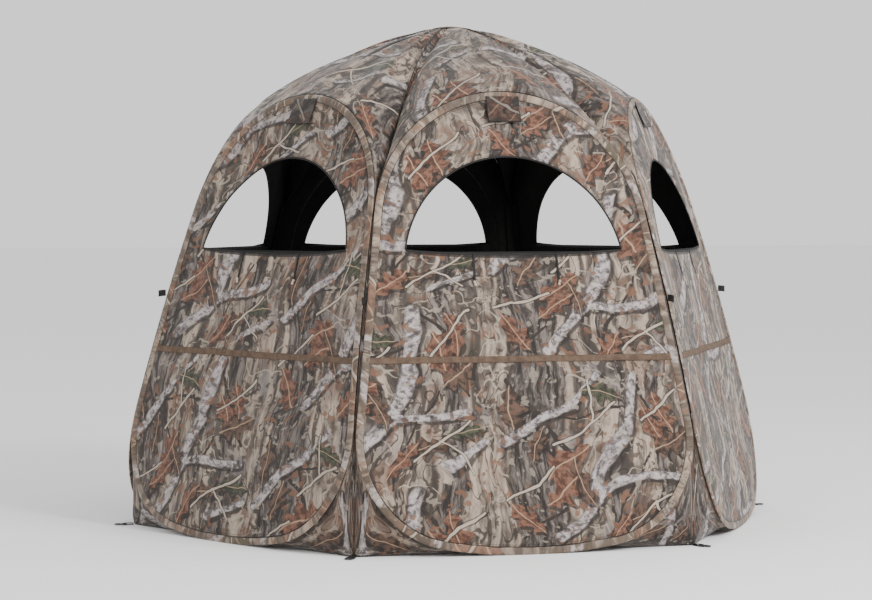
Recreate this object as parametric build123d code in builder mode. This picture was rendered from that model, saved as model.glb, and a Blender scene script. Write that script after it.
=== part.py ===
"""Six-sided pop-up ground blind: spring-steel hoops in cloth walls, a domed roof on rods, and a zipped door.

Units are millimetres. The blind stands on Z = 0, its centre is on the Z axis, and its front wall faces -Y.
Each piece of a wall is drawn once, on the front wall, and turned about Z to its own side.
On a wall, u runs sideways, z runs up, and a layer is a distance outwards from the wall's curved mid surface.
"""

from build123d import *
import math
import os

# ------------------------------------------------------- the whole blind
WALL_FOOT = 1022.0  # centre line to wall, at the ground
WAIST_SETBACK = 162.0  # waist behind the foot
TOP_SETBACK = 372.0  # hoop's top behind the foot
WAIST_SHARE = 0.52  # waist's height, per hoop's height
HOOP_TOP_Z = 1436.0
ROOF_RISE = 250.0  # roof's top above the hoops
APEX_RADIUS = 20.0  # where the gores stop
MID_BULGE = 0.080  # roof's bulge over a wall's middle, per length of gore
CORNER_BULGE = 0.105  # the same at a corner seam
RIB_STEPS = 4  # gore's ribs from a wall's middle to a corner seam

# ------------------------------------------------------- hoops, sleeves and cloth
CLOTH = 1.5
SEAM_GAP = 1.0  # cloth to the sleeve that it is sewn to
HOOP_FOOT_RADIUS = 1600.0  # of the nearly flat foot
HOOP_CORNER_RADIUS = 330.0
FOOT_PRESS = 2.0  # foot pressed flat on the ground
CONTACT_LOW_Z = 300.0  # hoops lie side by side from here
CONTACT_DROP = 386.0  # to here, below the hoop's top
CORNER_GAP = 3.2  # sleeve's edge to the corner line
SLEEVE_WIDTH = 24.0
SLEEVE_THICKNESS = 9.0
STEEL_WIDTH = 7.0
STEEL_THICKNESS = 3.0
FERRULE_LENGTH = 50.0
FERRULE_WALL = 0.9
FERRULE_PLAY = 0.1
CHANNEL_PLAY = 0.3  # ferrule to the sleeve's channel

# ------------------------------------------------------- windows and their covers
SILL_DROP = 501.0  # sill below the hoop's top
WINDOW_HALF = 350.0
WINDOW_RISE = 290.0
BINDING_WIDTH = 9.0
BINDING_THICKNESS = 1.2
COVER_LAP = 18.0  # cover past the window's arch
COVER_LAYER = -9.0
COVER_HINGE_DROP = 8.0  # hinge line below the sill
COVER_HINGE_GAP = 3.0
TIE_SPACING = 270.0
TIE_WIDTH = 7.0
TIE_THICKNESS = 1.2
TIE_LENGTH = 88.0
TOGGLE_LENGTH = 18.0
TOGGLE_RADIUS = 4.0
TOGGLE_FILLET = 1.5

# ------------------------------------------------------- straps, flaps and loops
STRAP_Z = 595.0
STRAP_WIDTH = 20.0
WEBBING = 1.4
LAYER_GAP = 0.3  # between cloth and what lies on it
FLAP_WIDTH = 110.0
FLAP_HEIGHT = 84.0
FLAP_DROP = 16.0  # flap's top edge below the hoop's top
GUY_LOOP_Z = 780.0
GUY_LOOP_WIDTH = 22.0
GUY_LOOP_REACH = 24.0
GUY_LOOP_DEPTH = 7.0
SKIRT_SETBACK = 70.0  # skirt's foot behind the wall's
SKIRT_LIFT = 1.5
SKIRT_START = 160.0  # from the wall's middle
SKIRT_STEPS = 5  # ribs along the ground
CORNER_STEPS = 6  # ribs along the hoop's round corner
STAKE_HOLE_RADIUS = 8.0
STAKE_RING_BAR = 5.0
STAKE_RING_THICKNESS = 3.0
STAKE_SLOT = 5.0
STAKE_LOOP_WIDTH = 18.0
STAKE_LOOP_LENGTH = 34.0
STAKE_LOOP_PLAY = 0.4

# ------------------------------------------------------- roof rods
ROD_RADIUS = 4.0
ROD_TOP_DROP = 20.0  # rod's centre line below the roof's top
ROD_END_DROP = 88.0  # rod's end below the hoop's top
ROD_END_GAP = 16.0  # rod's end to the wall
ROD_START = 18.0
ROD_PLAY = 0.3
HUB_RADIUS = 36.0
HUB_HEIGHT = 18.0
HUB_FILLET = 3.0
TIP_LENGTH = 32.0
TIP_WALL = 1.6
TIP_BASE = 2.5
POCKET_WIDTH = 56.0
POCKET_HEIGHT = 54.0
POCKET_DEPTH = 34.0
PATCH_RADIUS = 60.0
PATCH_RISE = 1.2  # patch's middle above its rim

# ------------------------------------------------------- door, in the back wall
DOOR_INSET = 62.0  # zipper's line inside the hoop's outside
DOOR_TOP_DROP = 134.0
DOOR_FOOT_Z = 72.0
DOOR_CORNER_RADIUS = 250.0
DOOR_HINGE_GAP = 6.0
DOOR_HINGE_LAYER = 3.0
ZIP_TAPE = 14.0
ZIP_COIL = 3.2
ZIP_COIL_DEPTH = 1.8
ZIP_TAPE_THICKNESS = 0.8
ZIP_GAP = 0.4
ZIP_END = 20.0  # zipper stops this far from the hinge line
SLIDER_Z = 470.0
SLIDER_TRAVEL = 160.0
SLIDER_LENGTH = 22.0
SLIDER_WIDTH = 15.0
SLIDER_HEIGHT = 3.0
EAR_RADIUS = 2.6
EAR_THICKNESS = 1.4
PULL_PLAY = 0.4
PIN_RADIUS = 1.2
PIN_PLAY = 0.05
PULL_LENGTH = 34.0
PULL_WIDTH = 8.0
PULL_THICKNESS = 1.6
PULL_EYE = 2.4

SIDE_NAMES = ["front", "front_right", "back_right", "back", "back_left", "front_left"]
SIDES = len(SIDE_NAMES)
SIDE_ANGLE = 360.0 / SIDES
HALF_ANGLE = math.radians(SIDE_ANGLE / 2)
DOOR_SIDE = SIDE_NAMES.index("back")
WINDOW_SIDES = [side for side in range(SIDES) if side != DOOR_SIDE]
ROOF_TOP_Z = HOOP_TOP_Z + ROOF_RISE
SILL_Z = HOOP_TOP_Z - SILL_DROP
FAR = 3 * WALL_FOOT  # longer than any cut
PAST_ENDS = 32.0  # a wall's section past the ground and past the hoop's top
SIDEWAYS = (1, 0, 0)


# ------------------------------------------------------- the wall's curve
def circle_through(a, b, c):
    """Centre and radius of the circle through three (n, z) points."""
    (an, az), (bn, bz), (cn, cz) = a, b, c
    d = 2 * (an * (bz - cz) + bn * (cz - az) + cn * (az - bz))
    a2, b2, c2 = an**2 + az**2, bn**2 + bz**2, cn**2 + cz**2
    n = (a2 * (bz - cz) + b2 * (cz - az) + c2 * (az - bz)) / d
    z = (a2 * (cn - bn) + b2 * (an - cn) + c2 * (bn - an)) / d
    return n, z, math.hypot(an - n, az - z)


WAIST_Z = HOOP_TOP_Z * WAIST_SHARE
WALL_N, WALL_Z, WALL_RADIUS = circle_through(
    (WALL_FOOT, 0), (WALL_FOOT - WAIST_SETBACK, WAIST_Z), (WALL_FOOT - TOP_SETBACK, HOOP_TOP_Z)
)


def wall_n(z, layer=0.0):
    """Distance from the centre line to a layer of the wall, at a height."""
    return WALL_N + math.sqrt((WALL_RADIUS + layer) ** 2 - (z - WALL_Z) ** 2)


def wall_lean(z):
    """How far the wall leans in at a height, in radians from upright."""
    return math.asin((z - WALL_Z) / WALL_RADIUS)


def half_side(z):
    """Half the width between two corner lines at a height."""
    return wall_n(z) * math.tan(HALF_ANGLE)


# ------------------------------------------------------- the hoop's outline, and the door's
class Outline:
    """A nearly flat foot, round lower corners, straight leaning sides and a round top, in u and z."""

    def __init__(self, slope, base, top_z, foot_z, corner_radius, foot_radius):
        self.slope, self.base, self.top_z, self.foot_z = slope, base, top_z, foot_z
        self.corner_radius, self.foot_radius = corner_radius, foot_radius
        self.stretch = math.hypot(1, slope)
        self.top_centre = (top_z * self.stretch - base) / (self.stretch - slope)
        self.top_radius = top_z - self.top_centre
        self.foot_centre = foot_z + foot_radius
        reach = base - corner_radius * self.stretch
        middle = (reach * slope + self.foot_centre) / self.stretch**2
        rest = reach**2 + self.foot_centre**2 - (foot_radius - corner_radius) ** 2
        self.corner_z = middle - math.sqrt(middle**2 - rest / self.stretch**2)
        self.corner_u = reach - slope * self.corner_z
        share = foot_radius / (foot_radius - corner_radius)
        self.foot_end = (
            self.corner_u * share,
            self.foot_centre + (self.corner_z - self.foot_centre) * share,
        )
        self.side_start = self.touch(self.corner_u, self.corner_z, corner_radius)
        self.side_end = self.touch(0, self.top_centre, self.top_radius)

    def touch(self, u, z, radius):
        """Where the straight side touches a circle."""
        return (u + radius / self.stretch, z + radius * self.slope / self.stretch)

    def side_u(self, z):
        return self.base - self.slope * z

    def inside(self, inset):
        """The same outline, drawn in."""
        return Outline(
            self.slope,
            self.base - inset * self.stretch,
            self.top_z - inset,
            self.foot_z + inset,
            self.corner_radius - inset,
            self.foot_radius - inset,
        )

    def corner_point(self, share):
        """A point on the lower right corner's arc, from 0 at the foot to 1 at the side."""
        start = math.atan2(self.foot_end[1] - self.corner_z, self.foot_end[0] - self.corner_u)
        turn = start + (math.atan(self.slope) - start) * share
        return (
            self.corner_u + self.corner_radius * math.cos(turn),
            self.corner_z + self.corner_radius * math.sin(turn),
        )

    def face(self):
        """The outline as a face on the XZ plane."""
        knee = self.corner_point(0.5)
        foot_left, side_left, top_left, knee_left = [
            (-u, z) for u, z in (self.foot_end, self.side_start, self.side_end, knee)
        ]
        with BuildSketch(Plane.XZ) as outline:
            with BuildLine():
                ThreePointArc(foot_left, (0, self.foot_z), self.foot_end)
                ThreePointArc(self.foot_end, knee, self.side_start)
                Line(self.side_start, self.side_end)
                ThreePointArc(self.side_end, (0, self.top_z), top_left)
                Line(top_left, side_left)
                ThreePointArc(side_left, knee_left, foot_left)
            make_face()
        return outline.sketch

    def ring(self, outer, inner):
        """The band between two insets, as a face on the XZ plane."""
        return self.inside(outer).face() - self.inside(inner).face()


CONTACT_HIGH_Z = HOOP_TOP_Z - CONTACT_DROP
SIDE_SLOPE = (half_side(CONTACT_LOW_Z) - half_side(CONTACT_HIGH_Z)) / (CONTACT_HIGH_Z - CONTACT_LOW_Z)
SIDE_BASE = half_side(CONTACT_LOW_Z) - CORNER_GAP + SIDE_SLOPE * CONTACT_LOW_Z
HOOP = Outline(SIDE_SLOPE, SIDE_BASE, HOOP_TOP_Z, -FOOT_PRESS, HOOP_CORNER_RADIUS, HOOP_FOOT_RADIUS)
DOOR = Outline(
    SIDE_SLOPE,
    HOOP.inside(DOOR_INSET).base,
    HOOP_TOP_Z - DOOR_TOP_DROP,
    DOOR_FOOT_Z,
    DOOR_CORNER_RADIUS,
    HOOP_FOOT_RADIUS,
)


# ------------------------------------------------------- faces that the walls are cut from
def layer_face(low, high):
    """The wall's curved section between two layers, as a face on the YZ plane."""
    turns = [wall_lean(z) for z in (-PAST_ENDS, WAIST_Z, HOOP_TOP_Z + PAST_ENDS)]
    inner, outer = [
        [
            (-(WALL_N + radius * math.cos(turn)), WALL_Z + radius * math.sin(turn))
            for turn in turns
        ]
        for radius in (WALL_RADIUS + low, WALL_RADIUS + high)
    ]
    with BuildSketch(Plane.YZ) as section:
        with BuildLine():
            ThreePointArc(*inner)
            Line(inner[2], outer[2])
            ThreePointArc(*outer)
            Line(outer[0], inner[0])
        make_face()
    return section.sketch


def window_face(grow=0.0):
    """The window, a straight sill under a round arch, on the XZ plane. Growing it keeps the sill's line."""
    half = WINDOW_HALF + grow
    with BuildSketch(Plane.XZ) as window:
        with BuildLine():
            ThreePointArc((half, SILL_Z), (0, SILL_Z + WINDOW_RISE + grow), (-half, SILL_Z))
            Line((-half, SILL_Z), (half, SILL_Z))
        make_face()
    return window.sketch


def band_face(low_z, high_z, u=0.0, width=FAR):
    """An upright rectangle on the XZ plane."""
    with BuildSketch(Plane.XZ) as band:
        with Locations((u, (low_z + high_z) / 2)):
            Rectangle(width, high_z - low_z)
    return band.sketch


def beyond_hinge(outline, distance):
    """On the XZ plane, all that is past a distance from the outline's left side, towards its middle."""
    low, high = -FAR, FAR
    left = outline.inside(distance)
    with BuildSketch(Plane.XZ) as area:
        with BuildLine():
            Polyline(
                (-left.side_u(low), low),
                (FAR * 2, low),
                (FAR * 2, high),
                (-left.side_u(high), high),
                close=True,
            )
        make_face()
    return area.sketch


def sheet(low, high, *faces, holes=()):
    """The wall's layers from low to high, where every face covers them, with holes cut through."""
    section = layer_face(low, high)
    with BuildPart() as cloth:
        extrude(section, amount=FAR / 2, both=True)
        for face in faces:
            extrude(face, amount=FAR, mode=Mode.INTERSECT)
        for hole in holes:
            extrude(hole, amount=FAR, mode=Mode.SUBTRACT)
    return cloth.part


def on_side(part, side):
    """A copy of a front wall's piece, on another side."""
    return part.rotate(Axis.Z, SIDE_ANGLE * side)


def on_corner(part, corner):
    """A copy of a piece that points at -Y, pointing at a corner."""
    return part.rotate(Axis.Z, SIDE_ANGLE * (corner + 0.5))


def save(part, name):
    part.label = name
    export_step(part, f"parts/{name}.step")


def save_group(parts, name):
    """Writes separate solids as one node."""
    save(Compound(children=[Compound(list(part.solids())) for part in parts]), name)


os.makedirs("parts", exist_ok=True)

# ------------------------------------------------------- hoops, their ferrules and their sleeves
STEEL_INSET = (SLEEVE_WIDTH - STEEL_WIDTH) / 2
FERRULE_REACH = FERRULE_WALL + FERRULE_PLAY
CHANNEL_INSET = STEEL_INSET - FERRULE_REACH - CHANNEL_PLAY
CHANNEL_HALF = STEEL_THICKNESS / 2 + FERRULE_REACH + CHANNEL_PLAY

FERRULE_BAND = band_face(-FOOT_PRESS, SLEEVE_WIDTH, 0, FERRULE_LENGTH)


def round_steel(play, *faces):
    """The hoop's bar, grown by a play on all four sides."""
    half = STEEL_THICKNESS / 2 + play
    inset = STEEL_INSET - play
    return sheet(-half, half, HOOP.ring(inset, SLEEVE_WIDTH - inset), *faces)


hoop = round_steel(0)
ferrule_bore = round_steel(FERRULE_PLAY)
ferrule_block = round_steel(FERRULE_REACH, FERRULE_BAND)
channel = round_steel(FERRULE_REACH + CHANNEL_PLAY)
tube = sheet(-SLEEVE_THICKNESS / 2, SLEEVE_THICKNESS / 2, HOOP.ring(0, SLEEVE_WIDTH), band_face(0, FAR))
with BuildPart() as ferrule:
    add(ferrule_block)
    add(ferrule_bore, mode=Mode.SUBTRACT)
with BuildPart() as sleeve:
    add(tube)
    add(channel, mode=Mode.SUBTRACT)

for side, name in enumerate(SIDE_NAMES):
    save(on_side(hoop, side), f"hoop_{name}")
    save(on_side(sleeve.part, side), f"sleeve_{name}")
save_group([on_side(ferrule.part, side) for side in range(SIDES)], "hoop_ferrules")

# ------------------------------------------------------- walls and their window bindings
WALL_FACE = HOOP.inside(SLEEVE_WIDTH + SEAM_GAP).face()
wall = sheet(-CLOTH / 2, CLOTH / 2, WALL_FACE, holes=[window_face()])

COIL_EDGE = ZIP_GAP / 2 + ZIP_COIL
CLOTH_EDGE = COIL_EDGE + LAYER_GAP
door_surround = sheet(-CLOTH / 2, CLOTH / 2, WALL_FACE, holes=[DOOR.inside(-CLOTH_EDGE).face()])

for side in WINDOW_SIDES:
    save(on_side(wall, side), f"wall_{SIDE_NAMES[side]}")
save(on_side(door_surround, DOOR_SIDE), "wall_back")

BINDING_LAYER = CLOTH / 2 + LAYER_GAP
binding = sheet(
    BINDING_LAYER, BINDING_LAYER + BINDING_THICKNESS, window_face(BINDING_WIDTH), holes=[window_face()]
)

save_group([on_side(binding, side) for side in WINDOW_SIDES], "window_bindings")
save(on_side(binding, DOOR_SIDE), "door_window_binding")

# ------------------------------------------------------- window covers, which hang open inside
HINGE_Z = SILL_Z - COVER_HINGE_DROP
COVER_HINGE = Axis((0, -wall_n(HINGE_Z, COVER_LAYER), HINGE_Z), SIDEWAYS)
COVER_LAYERS = (COVER_LAYER - CLOTH / 2, COVER_LAYER + CLOTH / 2)
hem = sheet(*COVER_LAYERS, band_face(HINGE_Z + COVER_HINGE_GAP, SILL_Z, 0, 2 * (WINDOW_HALF + COVER_LAP)))
arch = sheet(*COVER_LAYERS, window_face(COVER_LAP))
with BuildPart() as shut_cover:
    add(arch)
    add(hem)

cover_reach = shut_cover.part.center() - COVER_HINGE.position
COVER_SWING = 180.0 - math.degrees(math.atan2(cover_reach.Y, cover_reach.Z))
window_cover = shut_cover.part.rotate(COVER_HINGE, -COVER_SWING)

for side, name in enumerate(SIDE_NAMES):
    save(on_side(window_cover, side), f"window_cover_{name}")

# ------------------------------------------------------- ties for a rolled cover, outside below the sill
TIE_TOP_Z = SILL_Z - LAYER_GAP
TIE_LAYER = CLOTH / 2 + LAYER_GAP
TIE_PLACES = (-TIE_SPACING / 2, TIE_SPACING / 2)


def tie(u):
    band = band_face(TIE_TOP_Z - TIE_LENGTH, TIE_TOP_Z, u, TIE_WIDTH)
    return sheet(TIE_LAYER, TIE_LAYER + TIE_THICKNESS, band)


TOGGLE_Z = TIE_TOP_Z - TIE_LENGTH - TOGGLE_LENGTH / 2 - LAYER_GAP
TOGGLE_PLACE = Location(
    (0, -wall_n(TOGGLE_Z, TIE_LAYER + TOGGLE_RADIUS), TOGGLE_Z), (-math.degrees(wall_lean(TOGGLE_Z)), 0, 0)
)
with BuildPart() as toggle:
    with Locations(TOGGLE_PLACE):
        Cylinder(TOGGLE_RADIUS, TOGGLE_LENGTH)
    fillet(toggle.edges().filter_by(GeomType.CIRCLE), TOGGLE_FILLET)

ties = [tie(u) for u in TIE_PLACES]
toggles = [toggle.part.translate((u, 0, 0)) for u in TIE_PLACES]
save_group([on_side(part, side) for side in WINDOW_SIDES for part in ties], "window_ties")
save_group([on_side(part, side) for side in WINDOW_SIDES for part in toggles], "tie_toggles")
save_group([on_side(part, DOOR_SIDE) for part in ties], "door_ties")
save_group([on_side(part, DOOR_SIDE) for part in toggles], "door_toggles")

# ------------------------------------------------------- brush strap across each wall
strap = sheet(
    BINDING_LAYER,
    BINDING_LAYER + WEBBING,
    WALL_FACE,
    band_face(STRAP_Z - STRAP_WIDTH / 2, STRAP_Z + STRAP_WIDTH / 2),
)

save_group([on_side(strap, side) for side in WINDOW_SIDES], "brush_straps")

# ------------------------------------------------------- flap under each hoop's top
FLAP_TOP_Z = HOOP_TOP_Z - FLAP_DROP
FLAP_LAYER = SLEEVE_THICKNESS / 2 + 2 * LAYER_GAP
FLAP_HINGE = Axis((0, -wall_n(FLAP_TOP_Z, FLAP_LAYER + CLOTH / 2), FLAP_TOP_Z), SIDEWAYS)
flap = sheet(FLAP_LAYER, FLAP_LAYER + CLOTH, band_face(FLAP_TOP_Z - FLAP_HEIGHT, FLAP_TOP_Z, 0, FLAP_WIDTH))

for side, name in enumerate(SIDE_NAMES):
    save(on_side(flap, side), f"top_flap_{name}")

# ------------------------------------------------------- roof rods, hub, tips and pockets
ROD_TOP_Z = ROOF_TOP_Z - ROD_TOP_DROP
ROD_END_Z = HOOP_TOP_Z - ROD_END_DROP
ROD_END = wall_n(ROD_END_Z) - ROD_END_GAP
ROD_SAG = ROD_TOP_Z - ROD_END_Z
ROD_CURVE = (ROD_END**2 + ROD_SAG**2) / (2 * ROD_SAG)
ROD_AXIS = Axis((0, 0, ROD_TOP_Z - ROD_CURVE), SIDEWAYS)


def rod_turn(distance):
    """The turn along the rod's curve to a point at a distance along it, in degrees."""
    return math.degrees(distance / ROD_CURVE)


def bar_on_rod(radius, start, end):
    """A round bar on the rod's curve, between two distances along it from the centre line."""
    with BuildSketch(Plane((0, 0, ROD_TOP_Z), x_dir=SIDEWAYS, z_dir=(0, -1, 0))) as section:
        Circle(radius)
    disc = section.sketch.rotate(ROD_AXIS, rod_turn(start))
    with BuildPart() as bar:
        revolve(disc, axis=ROD_AXIS, revolution_arc=rod_turn(end - start))
    return bar.part


ROD_LENGTH = ROD_CURVE * math.asin(ROD_END / ROD_CURVE)
TIP_RADIUS = ROD_RADIUS + ROD_PLAY + TIP_WALL
rod = bar_on_rod(ROD_RADIUS, ROD_START, ROD_LENGTH)
tip_outside = bar_on_rod(TIP_RADIUS, ROD_LENGTH - TIP_LENGTH, ROD_LENGTH + TIP_BASE)
tip_inside = bar_on_rod(ROD_RADIUS + ROD_PLAY, ROD_LENGTH - 2 * TIP_LENGTH, ROD_LENGTH + ROD_PLAY)
with BuildPart() as rod_tip:
    add(tip_outside)
    add(tip_inside, mode=Mode.SUBTRACT)

hub_bore = bar_on_rod(ROD_RADIUS + ROD_PLAY, ROD_START - ROD_PLAY, 2 * HUB_RADIUS)
with BuildPart() as hub:
    with Locations((0, 0, ROD_TOP_Z)):
        Cylinder(HUB_RADIUS, HUB_HEIGHT)
    fillet(hub.edges().filter_by(GeomType.CIRCLE), HUB_FILLET)
    for side in range(SIDES):
        add(on_side(hub_bore, side), mode=Mode.SUBTRACT)

POCKET_LAYER = -CLOTH / 2 - LAYER_GAP
pocket_block = sheet(
    POCKET_LAYER - POCKET_DEPTH,
    POCKET_LAYER,
    band_face(ROD_END_Z - POCKET_HEIGHT / 2, ROD_END_Z + POCKET_HEIGHT / 2, 0, POCKET_WIDTH),
)
POCKET_END = ROD_LENGTH + TIP_BASE + ROD_PLAY
pocket_bore = bar_on_rod(TIP_RADIUS + ROD_PLAY, ROD_LENGTH - 2 * POCKET_HEIGHT, POCKET_END)
with BuildPart() as pocket:
    add(pocket_block)
    add(pocket_bore, mode=Mode.SUBTRACT)

save(hub.part, "roof_hub")
for pieces, name in ((rod, "roof_rods"), (rod_tip.part, "rod_tips"), (pocket.part, "rod_pockets")):
    save_group([on_side(pieces, side) for side in range(SIDES)], name)


# ------------------------------------------------------- roof gores, lofted through ribs in planes on the Z axis
def gore_rib(share):
    """One upright section of a gore. The share runs from -1 to 1 between the two corner seams."""
    if abs(share) == 1:
        foot_z = HOOP.side_end[1]
        azimuth = math.copysign(HALF_ANGLE, share)
        foot_r = wall_n(foot_z) / math.cos(HALF_ANGLE)
    else:
        edge = HOOP.inside(-SEAM_GAP)
        turn = share * (math.pi / 2 - math.atan(HOOP.slope))
        foot_u = edge.top_radius * math.sin(turn)
        foot_z = edge.top_centre + edge.top_radius * math.cos(turn)
        azimuth = math.atan2(foot_u, wall_n(foot_z))
        foot_r = math.hypot(foot_u, wall_n(foot_z))
    rise, run = ROOF_TOP_Z - foot_z, foot_r - APEX_RADIUS
    length = math.hypot(rise, run)
    bulge = length * (MID_BULGE + (CORNER_BULGE - MID_BULGE) * share**2)
    crown = (
        (foot_r + APEX_RADIUS) / 2 + bulge * rise / length,
        (foot_z + ROOF_TOP_Z) / 2 + bulge * run / length,
    )
    centre_r, centre_z, radius = circle_through((foot_r, foot_z), crown, (APEX_RADIUS, ROOF_TOP_Z))

    def across(point):
        """The point's places on the cloth's two faces."""
        away = (point[0] - centre_r, point[1] - centre_z)
        return [
            (centre_r + away[0] * grown / radius, centre_z + away[1] * grown / radius)
            for grown in (radius - CLOTH / 2, radius + CLOTH / 2)
        ]

    starts, crowns, ends = across((foot_r, foot_z)), across(crown), across((APEX_RADIUS, ROOF_TOP_Z))
    outwards = (math.sin(azimuth), -math.cos(azimuth), 0)
    sideways = (-math.cos(azimuth), -math.sin(azimuth), 0)
    with BuildSketch(Plane((0, 0, 0), x_dir=outwards, z_dir=sideways)) as rib:
        with BuildLine():
            ThreePointArc(starts[0], crowns[0], ends[0])
            Line(ends[0], ends[1])
            ThreePointArc(ends[1], crowns[1], starts[1])
            Line(starts[1], starts[0])
        make_face()
    return rib.sketch


gore_ribs = [gore_rib(step / RIB_STEPS) for step in range(-RIB_STEPS, RIB_STEPS + 1)]
with BuildPart() as gore:
    loft(gore_ribs)

for side, name in enumerate(SIDE_NAMES):
    save(on_side(gore.part, side), f"roof_gore_{name}")

PATCH_Z = ROOF_TOP_Z + CLOTH
with BuildSketch(Plane.XZ) as patch_section:
    with BuildLine():
        Polyline(
            (0, PATCH_Z + PATCH_RISE),
            (PATCH_RADIUS, PATCH_Z),
            (PATCH_RADIUS, PATCH_Z + WEBBING),
            (0, PATCH_Z + PATCH_RISE + WEBBING),
            close=True,
        )
    make_face()
patch_face = patch_section.sketch
with BuildPart() as apex_patch:
    revolve(patch_face, axis=Axis.Z)
save(apex_patch.part, "apex_patch")

# ------------------------------------------------------- skirts that fill in below the round lower corners
SKIRT_N = WALL_FOOT - SKIRT_SETBACK
SKIRT_TOP_Z = HOOP.side_start[1] + SLEEVE_WIDTH
BACK_LAYER = -(SLEEVE_THICKNESS + CLOTH) / 2 - LAYER_GAP


def skirt_ribs():
    """Ribs of the skirt's right half, from the hoop's edge to the ground line and up the corner line."""
    edge = HOOP.inside(SLEEVE_WIDTH / 2)
    foot = [SKIRT_START, (SKIRT_START + edge.foot_end[0]) / 2]
    held = [(u, edge.foot_centre - math.sqrt(edge.foot_radius**2 - u**2)) for u in foot]
    held += [edge.corner_point(step / CORNER_STEPS) for step in range(CORNER_STEPS + 1)]
    held += [(edge.side_u(SKIRT_TOP_Z), SKIRT_TOP_Z)]
    corner_u = SKIRT_N * math.tan(HALF_ANGLE) - SEAM_GAP
    ground_step = (corner_u - SKIRT_START) / SKIRT_STEPS
    on_ground = [SKIRT_START + ground_step * step for step in range(SKIRT_STEPS + 1)]
    free = [Vector(u, -SKIRT_N, SKIRT_LIFT) for u in on_ground]
    climbs = len(held) - len(free)
    for step in range(1, climbs + 1):
        share = step / climbs
        n = SKIRT_N * (1 - share) + wall_n(SKIRT_TOP_Z, BACK_LAYER) * share
        free.append(Vector(n * math.tan(HALF_ANGLE) - SEAM_GAP, -n, SKIRT_TOP_Z * share))
    return [Vector(u, -wall_n(z, BACK_LAYER), z) for u, z in held], free


def skirt_half():
    held, free = skirt_ribs()
    last = len(held) - 1
    quads = []
    for i, (top, low) in enumerate(zip(held, free)):
        along = held[min(i + 1, last)] - held[max(i - 1, 0)]
        away = along.cross(low - top).normalized() * (CLOTH / 2)
        with BuildLine() as edge:
            Polyline(top - away, top + away, low + away, low - away, close=True)
        quads.append(Face(edge.wires()[0]))
    with BuildPart() as half_skirt:
        loft(quads, ruled=True)
    return half_skirt.part


right_half = skirt_half()
left_half = right_half.mirror(Plane.YZ)
skirt_halves = [on_side(part, side) for side in range(SIDES) for part in (left_half, right_half)]
save_group(skirt_halves, "corner_skirts")

# ------------------------------------------------------- seam strips inside the corners, behind the sleeves
SEAM_TOP_Z = HOOP.side_end[1]
seam_edge = HOOP.inside(SLEEVE_WIDTH)
with BuildSketch(Plane.XZ) as seam_band:
    with BuildLine():
        Polyline(
            (seam_edge.side_u(SKIRT_TOP_Z), SKIRT_TOP_Z + SEAM_GAP),
            (seam_edge.side_u(SKIRT_TOP_Z) + FAR, SKIRT_TOP_Z + SEAM_GAP),
            (seam_edge.side_u(SEAM_TOP_Z) + FAR, SEAM_TOP_Z),
            (seam_edge.side_u(SEAM_TOP_Z), SEAM_TOP_Z),
            close=True,
        )
    make_face()
right_strip = sheet(BACK_LAYER - CLOTH / 2, BACK_LAYER + CLOTH / 2, seam_band.sketch)
with BuildPart() as seam_half:
    with BuildSketch(Plane.XY):
        with BuildLine():
            Polyline((0, 0), (0, -FAR), (FAR * math.tan(HALF_ANGLE), -FAR), close=True)
        make_face()
    extrude(amount=HOOP_TOP_Z)
    add(right_strip, mode=Mode.INTERSECT)
left_strip = on_side(seam_half.part.mirror(Plane.YZ), 1)
with BuildPart() as corner_seam:
    add(seam_half.part)
    add(left_strip)
save_group([on_side(corner_seam.part, side) for side in range(SIDES)], "corner_seams")

# ------------------------------------------------------- guy loops on the corner lines
def corner_r(z):
    return wall_n(z) / math.cos(HALF_ANGLE)


GUY_LOOP_R = corner_r(GUY_LOOP_Z) + SLEEVE_THICKNESS / 2 + LAYER_GAP
with BuildPart() as guy_loop:
    with BuildSketch(Plane.XY.offset(GUY_LOOP_Z - GUY_LOOP_WIDTH / 2)):
        with Locations((0, -GUY_LOOP_R - GUY_LOOP_REACH / 2)):
            SlotOverall(GUY_LOOP_REACH, GUY_LOOP_DEPTH, rotation=90)
            SlotOverall(
                GUY_LOOP_REACH - 2 * WEBBING, GUY_LOOP_DEPTH - 2 * WEBBING, rotation=90, mode=Mode.SUBTRACT
            )
    extrude(amount=GUY_LOOP_WIDTH)
save_group([on_corner(guy_loop.part, corner) for corner in range(SIDES)], "guy_loops")

# ------------------------------------------------------- stake loops and rings at the skirt's corners
STAKE_LOOP_HEIGHT = STAKE_RING_THICKNESS + 2 * (STAKE_LOOP_PLAY + WEBBING)
STAKE_LOOP_START = SKIRT_N / math.cos(HALF_ANGLE) + CLOTH
STAKE_LOOP_END = STAKE_LOOP_START + STAKE_LOOP_LENGTH
STAKE_BAR_END = STAKE_LOOP_END - WEBBING - STAKE_LOOP_HEIGHT / 2
STAKE_SLOT_END = STAKE_BAR_END + STAKE_LOOP_HEIGHT / 2 + STAKE_SLOT
STAKE_HOLE_R = STAKE_SLOT_END + STAKE_RING_BAR + STAKE_HOLE_RADIUS
with BuildPart() as stake_loop:
    with BuildSketch(Plane.YZ.offset(-STAKE_LOOP_WIDTH / 2)):
        with Locations((-(STAKE_LOOP_START + STAKE_LOOP_END) / 2, STAKE_LOOP_HEIGHT / 2)):
            SlotOverall(STAKE_LOOP_LENGTH, STAKE_LOOP_HEIGHT)
            SlotOverall(
                STAKE_LOOP_LENGTH - 2 * WEBBING, STAKE_LOOP_HEIGHT - 2 * WEBBING, mode=Mode.SUBTRACT
            )
    extrude(amount=STAKE_LOOP_WIDTH)

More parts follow.
